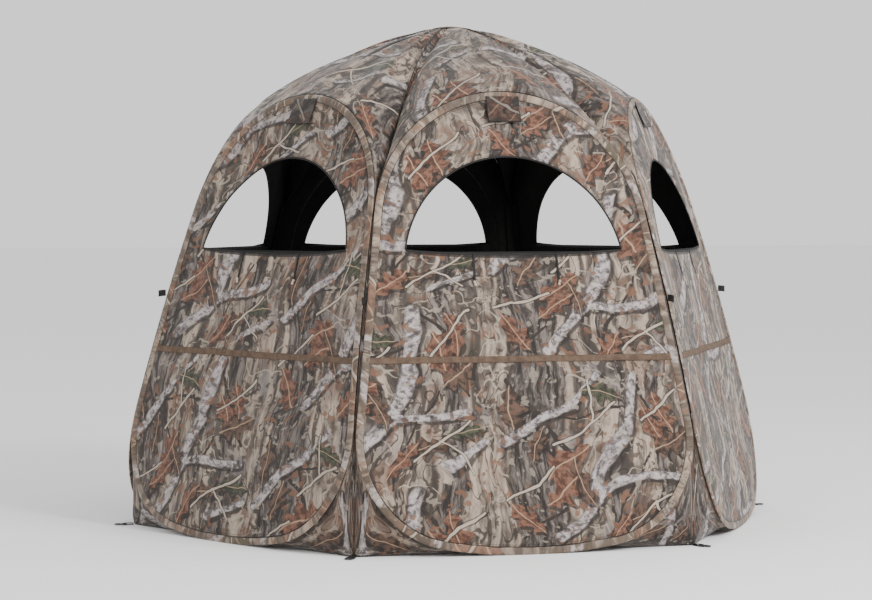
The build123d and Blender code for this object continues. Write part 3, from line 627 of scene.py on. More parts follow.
def print_colour(graph, light=0.0):
    """The cloth's woodland print over a flat place in metres."""
    flat = graph.uv()
    place = shifted(graph, shifted(graph, flat, 3.2, 0.17), 24.0, 0.016)
    x, y, _ = graph.parts(place)
    y = y + (x / TILE[0]).maths("FLOOR") * TILE_SHIFT
    tile = graph.joined(x.maths("WRAP", TILE[0], 0.0), y.maths("WRAP", TILE[1], 0.0))

    haze = graph.noise(graph.joined(x * 11.0, y * 1.6), 2.6, 4.0, 0.65)
    paint = graph.mix(haze.ramp(0.36, 0.62), colour(0.046, 0.035, 0.029), colour(0.370, 0.290, 0.225))
    mist = graph.noise(place, 11.0, 3.0, 0.6)
    paint = graph.mix(mist.ramp(0.48, 0.66) * 0.80, paint, colour(0.050, 0.038, 0.031))
    warm = graph.noise(place, 5.0, 2.0, 0.6)
    warm_x, warm_y, warm_z = graph.parts(graph.noise(place, 7.0, 2.0, 0.6, output="Color"))
    paint = graph.mix(warm_x.ramp(0.52, 0.66) * 0.50, paint, colour(0.135, 0.066, 0.040))
    paint = graph.mix(warm_y.ramp(0.54, 0.66) * 0.50, paint, colour(0.190, 0.165, 0.158))
    stems = graph.noise(graph.joined(x * 4.0, y * 0.20), 5.0, 1.0, 0.4)
    paint = graph.mix(stems.ramp(0.54, 0.60) * 0.85, paint, colour(0.034, 0.027, 0.023))
    wisps = graph.noise(graph.joined(x * 1.7, y), 9.0, 1.5, 0.5)
    paint = graph.mix((wisps - 0.47).size().ramp(0.013, 0.005) * 0.85, paint, colour(0.022, 0.016, 0.013))
    paint = graph.mix((warm - 0.52).size().ramp(0.008, 0.003) * 0.75, paint, colour(0.330, 0.275, 0.215))

    bark = graph.noise(graph.joined(x * 52.0, y * 8.0), 1.0, 4.0, 0.7)
    dark_bark = graph.mix(bark.ramp(0.40, 0.68), colour(0.018, 0.014, 0.012), colour(0.185, 0.150, 0.132))
    trunk = strokes(graph, tile, TRUNKS)
    paint = graph.mix(trunk.ramp(1.10, 1.00) * 0.8, paint, colour(0.016, 0.012, 0.010))
    paint = graph.mix(trunk.ramp(1.00, 0.90), paint, dark_bark)

    dark_twig = strokes(graph, tile, DARK_TWIGS)
    paint = graph.mix(dark_twig.ramp(1.10, 0.80), paint, colour(0.024, 0.018, 0.015))
    limb = strokes(graph, tile, LIMBS)
    below = graph.vector("ADD", tile, (-0.007, 0.008, 0.0))
    limb_shadow = strokes(graph, below, LIMBS).ramp(1.35, 0.95) * 0.85
    paint = graph.mix(limb_shadow, paint, colour(0.018, 0.013, 0.011))
    limb_bark = graph.noise(place, 46.0, 4.0, 0.7).ramp(0.36, 0.60)
    pale_bark = graph.mix(limb_bark, colour(0.070, 0.059, 0.059), colour(0.390, 0.345, 0.335))
    paint = graph.mix(limb.ramp(1.03, 0.90), paint, pale_bark)
    limb_rim = limb.ramp(0.62, 1.00) * limb.ramp(1.05, 1.00) * 0.65
    paint = graph.mix(limb_rim, paint, colour(0.050, 0.040, 0.037))

    litter = graph.noise(place, 34.0, 2.0, 0.5)
    tint = graph.mix(warm_z.ramp(0.44, 0.56), colour(0.034, 0.026, 0.020), colour(0.150, 0.072, 0.042))
    paint = graph.mix(litter.ramp(0.585, 0.625) * 0.80, paint, tint)
    paint = graph.mix(litter.ramp(0.385, 0.350) * 0.55, paint, colour(0.300, 0.250, 0.195))

    tones = [
        (colour(0.058, 0.025, 0.016), colour(0.165, 0.078, 0.050)),
        (colour(0.030, 0.019, 0.014), colour(0.100, 0.058, 0.040)),
        (colour(0.020, 0.021, 0.013), colour(0.062, 0.062, 0.038)),
    ]
    mottle = graph.noise(place, 60.0, 3.0, 0.6)
    for x0, y0, turn, size, kind in LEAVES:
        inside, vein = leaf(graph, tile, x0, y0, turn, size)
        low, high = tones[kind]
        face = graph.mix(mottle.ramp(0.38, 0.62), low, high)
        face = graph.mix(vein * 0.7, face, colour(0.380, 0.260, 0.170))
        shade, _ = leaf(graph, tile, x0 + 0.006, y0 - 0.009, turn, size * 1.08)
        paint = graph.mix(shade * 0.75, paint, colour(0.014, 0.010, 0.008))
        paint = graph.mix(inside, paint, face)

    twig = strokes(graph, tile, TWIGS)
    paint = graph.mix(twig.ramp(2.3, 1.3) * 0.7, paint, colour(0.018, 0.013, 0.011))
    paint = graph.mix(twig.ramp(1.05, 0.80), paint, colour(0.360, 0.300, 0.240))
    if light:
        paint = graph.mix(light, paint, colour(0.300, 0.215, 0.150))
    return flat, paint


def weave(graph, flat):
    """Fine threads across each other."""
    x, y, _ = graph.parts(flat)
    return (x * THREADS).sine() * 0.5 + (y * THREADS).sine() * 0.5


def printed_cloth(name, light=0.0, shade=1.0, stitched=()):
    """The print on a dull woven cloth. Stitches are lines at set distances from the cloth's edge, and
    stitched cloth is also darkened along its edge, partly as a dark seam and partly as painted shadow from
    the sleeve, binding or seam over it.
    """
    graph = Graph(name)
    flat, paint = print_colour(graph, light)
    # Painted shade: with shade below 1, the whole print is mixed towards near black, for cloth that hangs in
    # shade.
    if shade < 1:
        paint = graph.mix(1.0 - shade, paint, colour(0.012, 0.010, 0.009))
    crumple = graph.noise(flat, 26.0, 3.0, 0.55)
    height = crumple + weave(graph, flat) * 0.02
    if stitched:
        edge, length, _ = graph.parts(graph.uv("edge"))
        # Painted shade: the print darkens to near black within a few mm of the edge, partly a dark seam and
        # partly shadow cast by the sleeve, binding or seam over it.
        paint = graph.mix(edge.ramp(0.0065, 0.0020) * 0.85, paint, colour(0.010, 0.008, 0.007))
        for inset in stitched:
            line = (edge - inset).size().ramp(0.0016, 0.0007)
            dash = (length * (2 * math.pi / STITCH_LENGTH)).sine().ramp(-0.5, 0.1)
            paint = graph.mix(line * dash * 0.75, paint, colour(0.015, 0.012, 0.010))
            height = height - line * 0.5
    grain = graph.noise(flat, 300.0, 2.0)
    normal = graph.bump(height, 0.32, 0.004)
    return graph.finish(
        {"Base Color": paint, "Normal": normal, "Roughness": grain.ramp(0.2, 0.8) * 0.12 + 0.72},
        Sheen_Weight=0.15,
        Sheen_Roughness=0.5,
        Specular_IOR_Level=0.25,
    )


def plain_cloth(name, low, high, rough=0.85, place="cloth", ribs=0.0):
    """One colour of cloth or webbing, lightly uneven, with painted shade in the grooves of ribbed webbing."""
    graph = Graph(name)
    flat = graph.uv() if place == "cloth" else graph.object_place()
    tone = graph.noise(flat, 40.0, 3.0, 0.6)
    paint = graph.mix(tone.ramp(0.3, 0.7), low, high)
    height = graph.noise(flat, 220.0, 2.0)
    if ribs:
        x, y, z = graph.parts(flat)
        line = ((x + y + z) * (2 * math.pi / ribs)).sine()
        # Painted shade: the webbing darkens in the grooves between its ribs, where the bump is low.
        paint = graph.mix(line.ramp(0.2, -0.8) * 0.45, paint, colour(0.004, 0.004, 0.004))
        height = height * 0.4 + line * 0.5
    return graph.finish(
        {
            "Base Color": paint,
            "Normal": graph.bump(height, 0.35, 0.0012),
            "Roughness": tone.ramp(0.2, 0.8) * 0.10 + (rough - 0.05),
        },
        Specular_IOR_Level=0.3,
    )


def hard(name, low, high, rough, metal=0.0, scratch=0.05, scale=60.0):
    """A moulded or drawn material with a little wear."""
    graph = Graph(name)
    place = graph.object_place()
    tone = graph.noise(place, scale, 4.0, 0.6)
    fine = graph.noise(place, scale * 9, 2.0, 0.6)
    return graph.finish(
        {
            "Base Color": graph.mix(tone.ramp(0.35, 0.70), low, high),
            "Roughness": fine.ramp(0.3, 0.7) * scratch + rough,
            "Normal": graph.bump(fine, 0.08, 0.0005),
        },
        Metallic=metal,
    )


# ---------------------------------------------------------------- finishes
BLACK = colour(0.006, 0.006, 0.006)
SOFT_BLACK = colour(0.014, 0.013, 0.012)
wall_print = printed_cloth("woodland wall cloth", stitched=(0.009,))
roof_print = printed_cloth("woodland roof cloth", stitched=(0.009,))
sleeve_print = printed_cloth("woodland sleeve cloth", light=0.22)
# Painted shade: the flap's print is darkened all over, standing in for the shade it hangs in under the
# sleeve.
flap_print_in_painted_shade = printed_cloth("woodland flap cloth in painted shade", shade=0.42, stitched=(0.009,))
# Painted shade: the skirts' and corner strips' print is darkened all over, for the shade they lie in behind
# the hoops.
skirt_print_in_painted_shade = printed_cloth("woodland skirt cloth in painted shade", shade=0.85, stitched=(0.008,))
lining = plain_cloth("black lining", BLACK, SOFT_BLACK)
cover_cloth_black = plain_cloth("black cover cloth", BLACK, SOFT_BLACK, 0.8)
tape = plain_cloth("black edge binding", BLACK, SOFT_BLACK, 0.7)
WEB_BLACK = colour(0.022, 0.021, 0.020)
BROWN, PALE_BROWN = colour(0.085, 0.052, 0.034), colour(0.150, 0.098, 0.066)
strap_web = plain_cloth("brown webbing", BROWN, PALE_BROWN, 0.8, ribs=0.0024)
black_web = plain_cloth("black webbing", BLACK, WEB_BLACK, 0.75, "object", ribs=0.0024)
tie_web = plain_cloth("black tie tape", BLACK, WEB_BLACK, 0.75, ribs=0.0020)
zip_web = plain_cloth("zip tape and coil", BLACK, colour(0.020, 0.020, 0.020), 0.6, "object", ribs=0.0022)
toggle_finish = hard("toggle plastic", colour(0.330, 0.290, 0.240), colour(0.420, 0.370, 0.310), 0.45)
black_moulding = hard("black moulding", colour(0.010, 0.010, 0.010), colour(0.022, 0.022, 0.022), 0.42)
GLASS_DARK, GLASS_PALE = colour(0.030, 0.030, 0.030), colour(0.060, 0.060, 0.058)
rod_finish = hard("rod glass fibre", GLASS_DARK, GLASS_PALE, 0.35, scale=120.0)
steel = hard("spring steel", colour(0.230, 0.230, 0.240), colour(0.330, 0.330, 0.340), 0.32, metal=1.0)
CRIMP_DARK, CRIMP_PALE = colour(0.480, 0.470, 0.440), colour(0.600, 0.590, 0.560)
ferrule_finish = hard("ferrule metal", CRIMP_DARK, CRIMP_PALE, 0.30, metal=1.0)
RING_DARK, RING_PALE = colour(0.030, 0.030, 0.032), colour(0.070, 0.070, 0.075)
ring_finish = hard("black ring metal", RING_DARK, RING_PALE, 0.36, metal=0.8)
zip_finish = hard("zip metal", colour(0.120, 0.115, 0.105), colour(0.260, 0.250, 0.230), 0.30, metal=1.0)

KEPT = {
    "stake_rings": ring_finish,
    "roof_rods": rod_finish,
    "roof_hub": black_moulding,
    "rod_tips": black_moulding,
    "door_zip": zip_web,
    "frame_zip": zip_web,
    "zip_slider": zip_finish,
    "zip_pull": zip_finish,
    "hoop_ferrules": ferrule_finish,
}
KEPT.update({f"hoop_{name}": steel for name in SIDE_NAMES})
for node_name, finish in KEPT.items():
    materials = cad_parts[node_name].data.materials
    materials.clear()
    materials.append(finish)


# ---------------------------------------------------------------- walls
def flat_size(bm):
    """Width, height and area of a flat sheet in u and z."""
    across, up = [v.co.x for v in bm.verts], [v.co.y for v in bm.verts]
    return max(across) - min(across), max(up) - min(up), sum(face.calc_area() for face in bm.faces)


def mark_cloth(bm, edge_of, turned=0.0, shift=(0.0, 0.0)):
    """Writes the print's map and the map of distances from the edge, from a flat sheet in u and z."""
    cos, sin = math.cos(turned), math.sin(turned)

    def printed(place):
        x, y = place.x, up_length(max(-0.2, place.y))
        return (x * cos - y * sin + shift[0], x * sin + y * cos + shift[1])

    set_uv(bm, "cloth", printed)
    set_uv(bm, "edge", lambda place: edge_of(place.x, place.y))


def wall_edge(outline):
    """Distance from a wall's outer edge or its window's arch, and a length along it."""

    def edge_of(u, z):
        arch = math.hypot(u, z - ARCH_CENTRE) - ARCH_RADIUS if z > SILL_Z else SILL_Z - z
        if z <= SILL_Z and abs(u) > WINDOW_HALF:
            arch = math.hypot(abs(u) - WINDOW_HALF, SILL_Z - z)
        outer = outline.depth(u, z)
        return (min(outer, arch), u + z)

    return edge_of


def cloth_sheet(name, bm, body, materials, nodes, thickness=CLOTH, lined=True):
    """A finished cloth piece, thickened and tied to its body."""
    obj = piece(name, bm, body, materials, nodes, thickness, recalc=False, lined=lined)
    return obj


SLEEVE_LAP = 0.002
WALL_EDGE = HOOP.inside(SLEEVE_WIDTH - SLEEVE_LAP)
for side in WINDOW_SIDES:
    bm = window_cloth(WALL_EDGE)
    flat = flat_size(bm)
    mark_cloth(bm, wall_edge(WALL_EDGE), shift=(0.23 * side + 0.11, 0.19 * side))
    hang_all(bm, side)
    name = SIDE_NAMES[side]
    cloth_sheet(
        f"wall_cloth_{name}", bm, ROOT,
        [wall_print, lining], [f"wall_{name}"],
    )


# ---------------------------------------------------------------- hoop sleeves
def steps_round(outline, count):
    """Places round a whole outline, evenly spaced by length, from the left of the top round the foot."""
    lengths = outline.lengths()
    half = sum(lengths)
    places = []
    for step in range(count + 1):
        left = abs(step / count * 2 * half - half)
        sign = 1 if step * 2 >= count else -1
        for part, length in enumerate(lengths):
            if left <= length or part == 3:
                places.append(sign * (part + min(1.0, left / length)))
                break
            left -= length
    return places


def sleeve_section(round_share, length, side):
    """Across and out from the sleeve's outer edge: a slightly flat tube whose cloth puckers."""
    turn = 2 * math.pi * round_share
    half = SLEEVE_WIDTH / 2
    pucker = 0.5 + 0.5 * hills(length, 0, 0.016, side + 51)
    tight = 0.80 + 0.20 * pucker
    across = -half + half * math.cos(turn)
    out = SLEEVE_THICKNESS / 2 * tight * math.copysign(abs(math.sin(turn)) ** 0.75, math.sin(turn))
    out += 0.0006 * hills(length, across * 3, 0.012, side + 61)
    return across, out


def on_sleeve(a, b):
    """A flat point of the sleeve, from its shares along the hoop and round the tube."""
    u, z, turn = HOOP.at(sleeve_places[round(a * SLEEVE_STEPS)])
    across, out = sleeve_section(b % 1.0, (a % 1.0) * HOOP_LENGTH, side)
    return Vector((u + across * math.cos(turn), z + across * math.sin(turn), out))


SLEEVE_STEPS, SLEEVE_ROUND = 420, 14
SLEEVE_LINED_Z = 0.42
HOOP_LENGTH = 2 * sum(HOOP.lengths())
SLEEVE_WRAP = 2 * SLEEVE_WIDTH + SEAM_ALLOWANCE
sleeve_places = steps_round(HOOP, SLEEVE_STEPS)
for side, name in enumerate(SIDE_NAMES):
    bm = flat_grid(SLEEVE_STEPS, SLEEVE_ROUND, lambda a, b: Vector((a, b, 0)))
    set_uv(bm, "cloth", lambda place: (place.x * HOOP_LENGTH + 0.31 * side, place.y * SLEEVE_WIDTH * 2))
    set_uv(bm, "edge", lambda place: (abs(place.y - 0.42) * SLEEVE_WIDTH * 2 + 0.0045, place.x * HOOP_LENGTH))
    for face in bm.faces:
        middle = face.calc_center_median()
        high = HOOP.at(sleeve_places[int(middle.x * SLEEVE_STEPS)])[1] > SLEEVE_LINED_Z
        face.material_index = int(middle.y > 0.5 and high)
    for v in bm.verts:
        flat_place = on_sleeve(v.co.x, v.co.y)
        v.co = hang(side, *flat_place, rough=False)
    weld(bm, 0.00005)
    bmesh.ops.recalc_face_normals(bm, faces=bm.faces[:])
    flat = (HOOP_LENGTH, SLEEVE_WRAP, HOOP_LENGTH * SLEEVE_WRAP)
    cloth_sheet(
        f"sleeve_cloth_{name}", bm, ROOT,
        [sleeve_print, lining], [f"sleeve_{name}"],
        thickness=SLEEVE_CLOTH, lined=False,
    )


# ---------------------------------------------------------------- roof
APEX_RADIUS, MID_BULGE, CORNER_BULGE = 0.020, 0.080, 0.105
CORNER_FOOT_Z = HOOP.at(3.0)[1]


def gore_foot(share):
    """Direction, radius and height of a gore's foot, from one corner seam (-1) to the other (1)."""
    edge = HOOP.inside(-0.001)
    turn = share * (math.pi / 2 - HOOP.side_turn)
    foot_u = edge.top_radius * math.sin(turn)
    foot_z = edge.top_centre + edge.top_radius * math.cos(turn)
    if abs(share) > 0.9999:
        return math.copysign(TURN / 2, share), wall_n(CORNER_FOOT_Z) / math.cos(TURN / 2), CORNER_FOOT_Z
    return math.atan2(foot_u, wall_n(foot_z)), math.hypot(foot_u, wall_n(foot_z)), foot_z


def on_gore(side, share, rise_share, rough=True):
    """A point of the canopy: rise_share runs from the hoop's edge to the roof's top."""
    azimuth, foot_r, foot_z = gore_foot(share)
    rise, run = ROOF_TOP_Z - foot_z, foot_r - APEX_RADIUS
    length = math.hypot(rise, run)
    bulge = length * (MID_BULGE + (CORNER_BULGE - MID_BULGE) * share**2)
    crown = (
        (foot_r + APEX_RADIUS) / 2 + bulge * rise / length,
        (foot_z + ROOF_TOP_Z) / 2 + bulge * run / length,
    )
    centre_r, centre_z, radius = circle_through((foot_r, foot_z), crown, (APEX_RADIUS, ROOF_TOP_Z))
    low = math.atan2(foot_z - centre_z, foot_r - centre_r)
    high = math.atan2(ROOF_TOP_Z - centre_z, APEX_RADIUS - centre_r)
    turn = low + (high - low) * rise_share
    if rough:
        radius += roof_ruffle(side, share, rise_share)
    r, z = centre_r + radius * math.cos(turn), centre_z + radius * math.sin(turn)
    heading = azimuth + TURN * side - math.pi / 2
    return Vector((r * math.cos(heading), r * math.sin(heading), z))


def roof_ruffle(side, share, up):
    """How far the canopy stands out: a seam's ridge near the top, its valley lower down, and pulled folds."""
    held = smooth(0.0, 0.05, up)
    near_seam = smooth(0.55, 1.0, abs(share))
    wave = (TURN * side + share * TURN / 2) % (2 * math.pi)
    round_x, round_y = math.cos(wave), math.sin(wave)
    ridge = 0.010 * near_seam**2 * smooth(0.50, 0.80, up) * smooth(1.0, 0.93, up)
    valley = -0.028 * near_seam * smooth(0.0, 0.16, up) * smooth(0.62, 0.30, up)
    between = 1 - near_seam
    sag = -0.016 * between * math.sin(math.pi * up)
    fold = noise.noise(Vector((round_x * 5.5, round_y * 5.5, up * 0.9)))
    fine = noise.noise(Vector((round_x * 16.0 + 3.0, round_y * 16.0, up * 1.6)))
    fan = (0.0190 * fold + 0.0095 * fine) * smooth(0.98, 0.75, up)
    pull = 0.0022 * noise.noise(Vector((share * 11.0, up * 5.0, side + 4.2)))
    stitch_dip = -0.0030 * smooth(0.955, 1.0, abs(share)) * smooth(0.0, 0.1, up)
    return held * (ridge + valley + sag + fan + pull + stitch_dip)


GORE_COLUMNS, GORE_ROWS = 60, 54
bm = bmesh.new()
gore_area = 0.0
gore_length = (on_gore(0, 0, 0, False) - on_gore(0, 0, 1, False)).length
for side in range(SIDES):
    gore = flat_grid(GORE_COLUMNS, GORE_ROWS, lambda a, b: Vector((a, b, 0)))

    def seam_share(a):
        share = 2 * a - 1
        return math.copysign(1 - (1 - abs(share)) ** 1.15, share)

    def gore_print(place, side=side):
        share = seam_share(place.x)
        point = on_gore(0, share, place.y, rough=False)
        down = (1 - place.y) * gore_length * (1 + 0.36 * share**2)
        return (point.x + 0.37 * side, 1.9 - down + 0.13 * side)

    def gore_edge(place):
        share = seam_share(place.x)
        reach = abs(on_gore(0, 1.0, place.y, rough=False).x) * (1 - abs(share))
        return (min(reach, place.y * gore_length), place.y * gore_length + place.x * 0.3)

    set_uv(gore, "cloth", gore_print)
    set_uv(gore, "edge", gore_edge)
    smooth_gore = gore.copy()
    for v in smooth_gore.verts:
        v.co = on_gore(side, seam_share(v.co.x), v.co.y, rough=False)
    gore_area += sum(face.calc_area() for face in smooth_gore.faces)
    smooth_gore.free()
    for v in gore.verts:
        v.co = on_gore(side, seam_share(v.co.x), v.co.y)
    take_in(bm, gore)
weld(bm, 0.0004)
face_to(bm, UP)
cloth_sheet(
    "roof_canopy", bm, ROOT,
    [roof_print, lining], [f"roof_gore_{name}" for name in SIDE_NAMES],
)

PATCH_RADIUS, PATCH_LIFT, PATCH_CLOTH = 0.060, 0.0042, 0.0014
bm = bmesh.new()
bmesh.ops.create_circle(bm, cap_ends=True, cap_tris=True, radius=PATCH_RADIUS, segments=72)
spokes = [edge for edge in bm.edges if not edge.is_boundary]
bmesh.ops.subdivide_edges(bm, edges=spokes, cuts=8, use_grid_fill=True)
for v in bm.verts:
    reach = math.hypot(v.co.x, v.co.y)
    fall = 0.0135 * (reach / PATCH_RADIUS) ** 2 + 0.0006 * hills(v.co.x, v.co.y, 0.02, 3)
    v.co.z = ROOF_TOP_Z + PATCH_LIFT - fall * 0.55


def patch_edge(place):
    return PATCH_RADIUS - math.hypot(place.x, place.y), math.atan2(place.y, place.x) * 0.05


set_uv(bm, "cloth", lambda place: (place.x, place.y))
set_uv(bm, "edge", patch_edge)
piece("apex_cap", bm, ROOT, [roof_print], ["apex_patch"], thickness=PATCH_CLOTH)


# ---------------------------------------------------------------- corner cloth: skirts and seam strips
BACK_LAYER = -(SLEEVE_THICKNESS + 0.0015) / 2 - 0.0003
SKIRT_N = WALL_FOOT - SKIRT_SETBACK
SKIRT_LIFT = 0.0015
SKIRT_TOP_Z = HOOP.at(2.0)[1] + SLEEVE_WIDTH
STRIP_TOP_Z = CORNER_FOOT_Z + 0.030
# Shares along a skirt: the start and end of the hoop's round corner, and the end of the edge on the ground.
ROUND_START, ROUND_END, GROUND_END = 0.30, 0.93, 0.62
HELD = HOOP.inside(SLEEVE_WIDTH / 2)
STRIP_EDGE = HOOP.inside(SLEEVE_WIDTH)


def skirt_edges(share):
    """The skirt's held edge on the hoop, as u and z, and its free edge on the ground and up the corner."""
    foot_u = SKIRT_START + (HELD.at(1.0)[0] - SKIRT_START) * min(1.0, share / ROUND_START)
    if share <= ROUND_START:
        held_u, held_z = foot_u, HELD.foot_centre - math.sqrt(HELD.foot_radius**2 - foot_u**2)
    elif share <= ROUND_END:
        held_u, held_z = HELD.corner((share - ROUND_START) / (ROUND_END - ROUND_START))
    else:
        rise = (share - ROUND_END) / (1 - ROUND_END)
        held_z = HELD.corner(1)[1] + (SKIRT_TOP_Z - HELD.corner(1)[1]) * rise
        held_u = HELD.side_u(held_z)
    corner_u = SKIRT_N * math.tan(TURN / 2) - SEAM_PLAY
    if share <= GROUND_END:
        u = SKIRT_START + (corner_u - SKIRT_START) * share / GROUND_END
        return held_u, held_z, Vector((u, -SKIRT_N, SKIRT_LIFT))
    climb = (share - GROUND_END) / (1 - GROUND_END)
    n = SKIRT_N * (1 - climb) + wall_n(SKIRT_TOP_Z, BACK_LAYER) * climb
    return held_u, held_z, Vector((n * math.tan(TURN / 2) - SEAM_PLAY, -n, SKIRT_TOP_Z * climb))


def corner_cloth_point(side, hand, a, b):
    """A point of half of a corner's cloth. a runs along the hoop, and b to the ground or the corner."""
    if a <= 0.5:
        held_u, held_z, free = skirt_edges(a * 2)
    else:
        held_z = SKIRT_TOP_Z + (STRIP_TOP_Z - SKIRT_TOP_Z) * (a - 0.5) * 2
        held_u = STRIP_EDGE.side_u(held_z)
        n = wall_n(held_z, BACK_LAYER)
        free = Vector((n * math.tan(TURN / 2) - SEAM_PLAY, -n, held_z))
    held = Vector((held_u, -wall_n(held_z, BACK_LAYER), held_z))
    point = held.lerp(free, b)
    loose = math.sin(math.pi * b) * smooth(0.0, 0.1, a) * smooth(0.56, 0.44, a)
    wave = 0.010 * hills(point.x * 1.4, point.z, 0.09, side * 2 + hand)
    point.y += loose * (wave + 0.004 * hills(a, b, 0.05, 71 + side))
    point.x *= hand
    return on_side(side) @ point


for corner in range(SIDES):
    bm = bmesh.new()
    area = 0.0
    for side, hand in ((corner, 1), ((corner + 1) % SIDES, -1)):
        half = flat_grid(96, 16, lambda a, b: Vector((a, b, 0)))
        set_uv(half, "cloth", lambda place: (place.y * 0.20 + 0.4 * corner, 0.75 - place.x * 1.4))
        set_uv(half, "edge", lambda place: ((1 - place.y) * 0.12, place.x * 1.4))
        for v in half.verts:
            v.co = corner_cloth_point(side, hand, v.co.x, v.co.y)
        area += sum(face.calc_area() for face in half.faces)
        take_in(bm, half)
    weld(bm, 0.001)
    bmesh.ops.dissolve_degenerate(bm, dist=1e-5, edges=bm.edges[:])
    face_to(bm, on_side(corner + 0.5) @ OUT)
    cloth_sheet(
        f"corner_cloth_{corner + 1}", bm, ROOT,
        [skirt_print_in_painted_shade, lining], ["corner_skirts", "corner_seams"],
    )


# ---------------------------------------------------------------- window covers, hanging open inside
HINGE_Z = SILL_Z - COVER_HINGE_DROP
COVER_HALF = WINDOW_HALF + COVER_LAP
COVER_TURN = math.radians(163.53)


def cover_cloth(columns=64, rows=26):
    """A flat cover with its hem, from the hinge line to the arch."""

    def place(a, b):
        turn = math.pi * a
        reach = arch_reach(turn, COVER_LAP)
        far_u, far_z = reach * math.cos(turn), SILL_Z + reach * math.sin(turn)
        near_u, near_z = COVER_HALF * (1 - 2 * a), HINGE_Z + 0.001
        return Vector((near_u + (far_u - near_u) * b, near_z + (far_z - near_z) * b, 0))

    return flat_grid(columns, rows, place)


def cover_edge(u, z):
    from_arch = abs(ARCH_RADIUS + COVER_LAP - math.hypot(u, z - ARCH_CENTRE))
    return min(from_arch, z - HINGE_Z + 0.004), u + z


for side, name in enumerate(SIDE_NAMES):
    bm = cover_cloth()
    flat = flat_size(bm)
    mark_cloth(bm, cover_edge, math.pi / 2 if side % 2 else 0.0, (0.3 * side, 0.5))
    hinge = Vector((0, -wall_n(HINGE_Z, COVER_LAYER), HINGE_Z))
    for v in bm.verts:
        u, z = v.co.x, v.co.y
        down = z - HINGE_Z
        wrinkle = 0.0035 * hills(u, z * 0.4, 0.11, side + 81) * smooth(0.0, 0.08, down)
        point = hang(0, u, z, COVER_LAYER + wrinkle, rough=False)
        point = hinge + Matrix.Rotation(-COVER_TURN, 3, "X") @ (point - hinge)
        if down < 0.004:
            point = Vector((u, -wall_n(HINGE_Z, -0.0022), HINGE_Z + 0.001))
        v.co = on_side(side) @ point
    face_to(bm, on_side(side) @ OUT)
    bmesh.ops.reverse_faces(bm, faces=bm.faces[:])
    carrier, behind = ("door", "door_cloth") if side == DOOR_SIDE else (ROOT, f"wall_cloth_{name}")
    obj = cloth_sheet(
        f"window_cover_cloth_{name}", bm, f"window_cover_{name}_body",
        [cover_cloth_black], [f"window_cover_{name}"],
    )
    obj.parent = None
    start = on_side(side) @ Vector((0, -wall_n(HINGE_Z, -0.003), HINGE_Z))
    end = on_side(side) @ Vector((0, -wall_n(HINGE_Z, COVER_LAYER), HINGE_Z - 0.003))
    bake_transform(obj)


# ---------------------------------------------------------------- door in the back wall
DOOR_SURROUND = DOOR.inside(-CLOTH_EDGE)
SURROUND_STEPS, SURROUND_ROWS = 240, 12
DOOR_PRINT_SHIFT = (0.8, 0.57)
places = steps_round(HOOP, SURROUND_STEPS)
bm = flat_grid(SURROUND_STEPS, SURROUND_ROWS, lambda a, b: Vector((a, b, 0)))
for v in bm.verts:
    place = places[round(v.co.x * SURROUND_STEPS)]
    near, far = DOOR_SURROUND.at(place), WALL_EDGE.at(place)
    share = v.co.y
    v.co = Vector((near[0] + (far[0] - near[0]) * share, near[1] + (far[1] - near[1]) * share, 0))
weld(bm, 0.00005)
flat = flat_size(bm)


def surround_edge(u, z):
    return min(WALL_EDGE.depth(u, z), abs(DOOR_SURROUND.depth(u, z))), u + z


mark_cloth(bm, surround_edge, shift=DOOR_PRINT_SHIFT)
hang_all(bm, DOOR_SIDE)
cloth_sheet(
    "door_surround_cloth", bm, ROOT,
    [wall_print, lining], ["wall_back"],
)

DOOR_CLOTH = DOOR.inside(CLOTH_EDGE)
HINGE_LOW_Z, HINGE_HIGH_Z = DOOR.at(2.0)[1], DOOR.at(3.0)[1]
HINGE_MIDDLE_Z = (HINGE_LOW_Z + HINGE_HIGH_Z) / 2
bm = window_cloth(DOOR_CLOTH)
cut(bm, Vector((-DOOR.inside(DOOR_HINGE_GAP).base, 0, 0)), Vector((1, -DOOR.slope, 0)))
flat = flat_size(bm)
mark_cloth(bm, wall_edge(DOOR_CLOTH), shift=DOOR_PRINT_SHIFT)
hang_all(bm, DOOR_SIDE)
cloth_sheet(
    "door_cloth", bm, "door",
    [wall_print, lining], ["door_panel"],
)

ZIP_STARTS = (1.70, 3.27)  # places on the door's outline where the zip starts and ends


def on_hinge_strip(a, b):
    """The strip between the door and its surround, along the outline from one end of the zip to the other."""
    place = -(ZIP_STARTS[0] + (ZIP_STARTS[1] - ZIP_STARTS[0]) * a)
    inset = -CLOTH_EDGE - 0.004 + (DOOR_HINGE_GAP + CLOTH_EDGE + 0.008) * b
    u, z, _ = DOOR.inside(inset).at(place)
    return Vector((u, z, 0.0006))


bm = flat_grid(90, 6, on_hinge_strip)
# Every point gets an edge distance of 4 mm, so the painted edge shade darkens the whole strip about halfway,
# as shade in the gap round the door.
mark_cloth(bm, lambda u, z: (0.004, z), shift=DOOR_PRINT_SHIFT)
hang_all(bm, DOOR_SIDE)
strip = piece("door_hinge_cloth", bm, ROOT, [wall_print, lining], thickness=CLOTH, recalc=False)
strip.parent = None
hang(DOOR_SIDE, -DOOR.inside(-CLOTH_EDGE).side_u(HINGE_MIDDLE_Z), HINGE_MIDDLE_Z, rough=False)
hang(DOOR_SIDE, -DOOR.inside(DOOR_HINGE_GAP).side_u(HINGE_MIDDLE_Z), HINGE_MIDDLE_Z, rough=False)
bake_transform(strip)


# ---------------------------------------------------------------- bindings, straps, ties and flaps
BINDING_HALF, BINDING_RISE = 0.0032, 0.0022
STRAP_WEB, TAPE_WEB = 0.0014, 0.0012


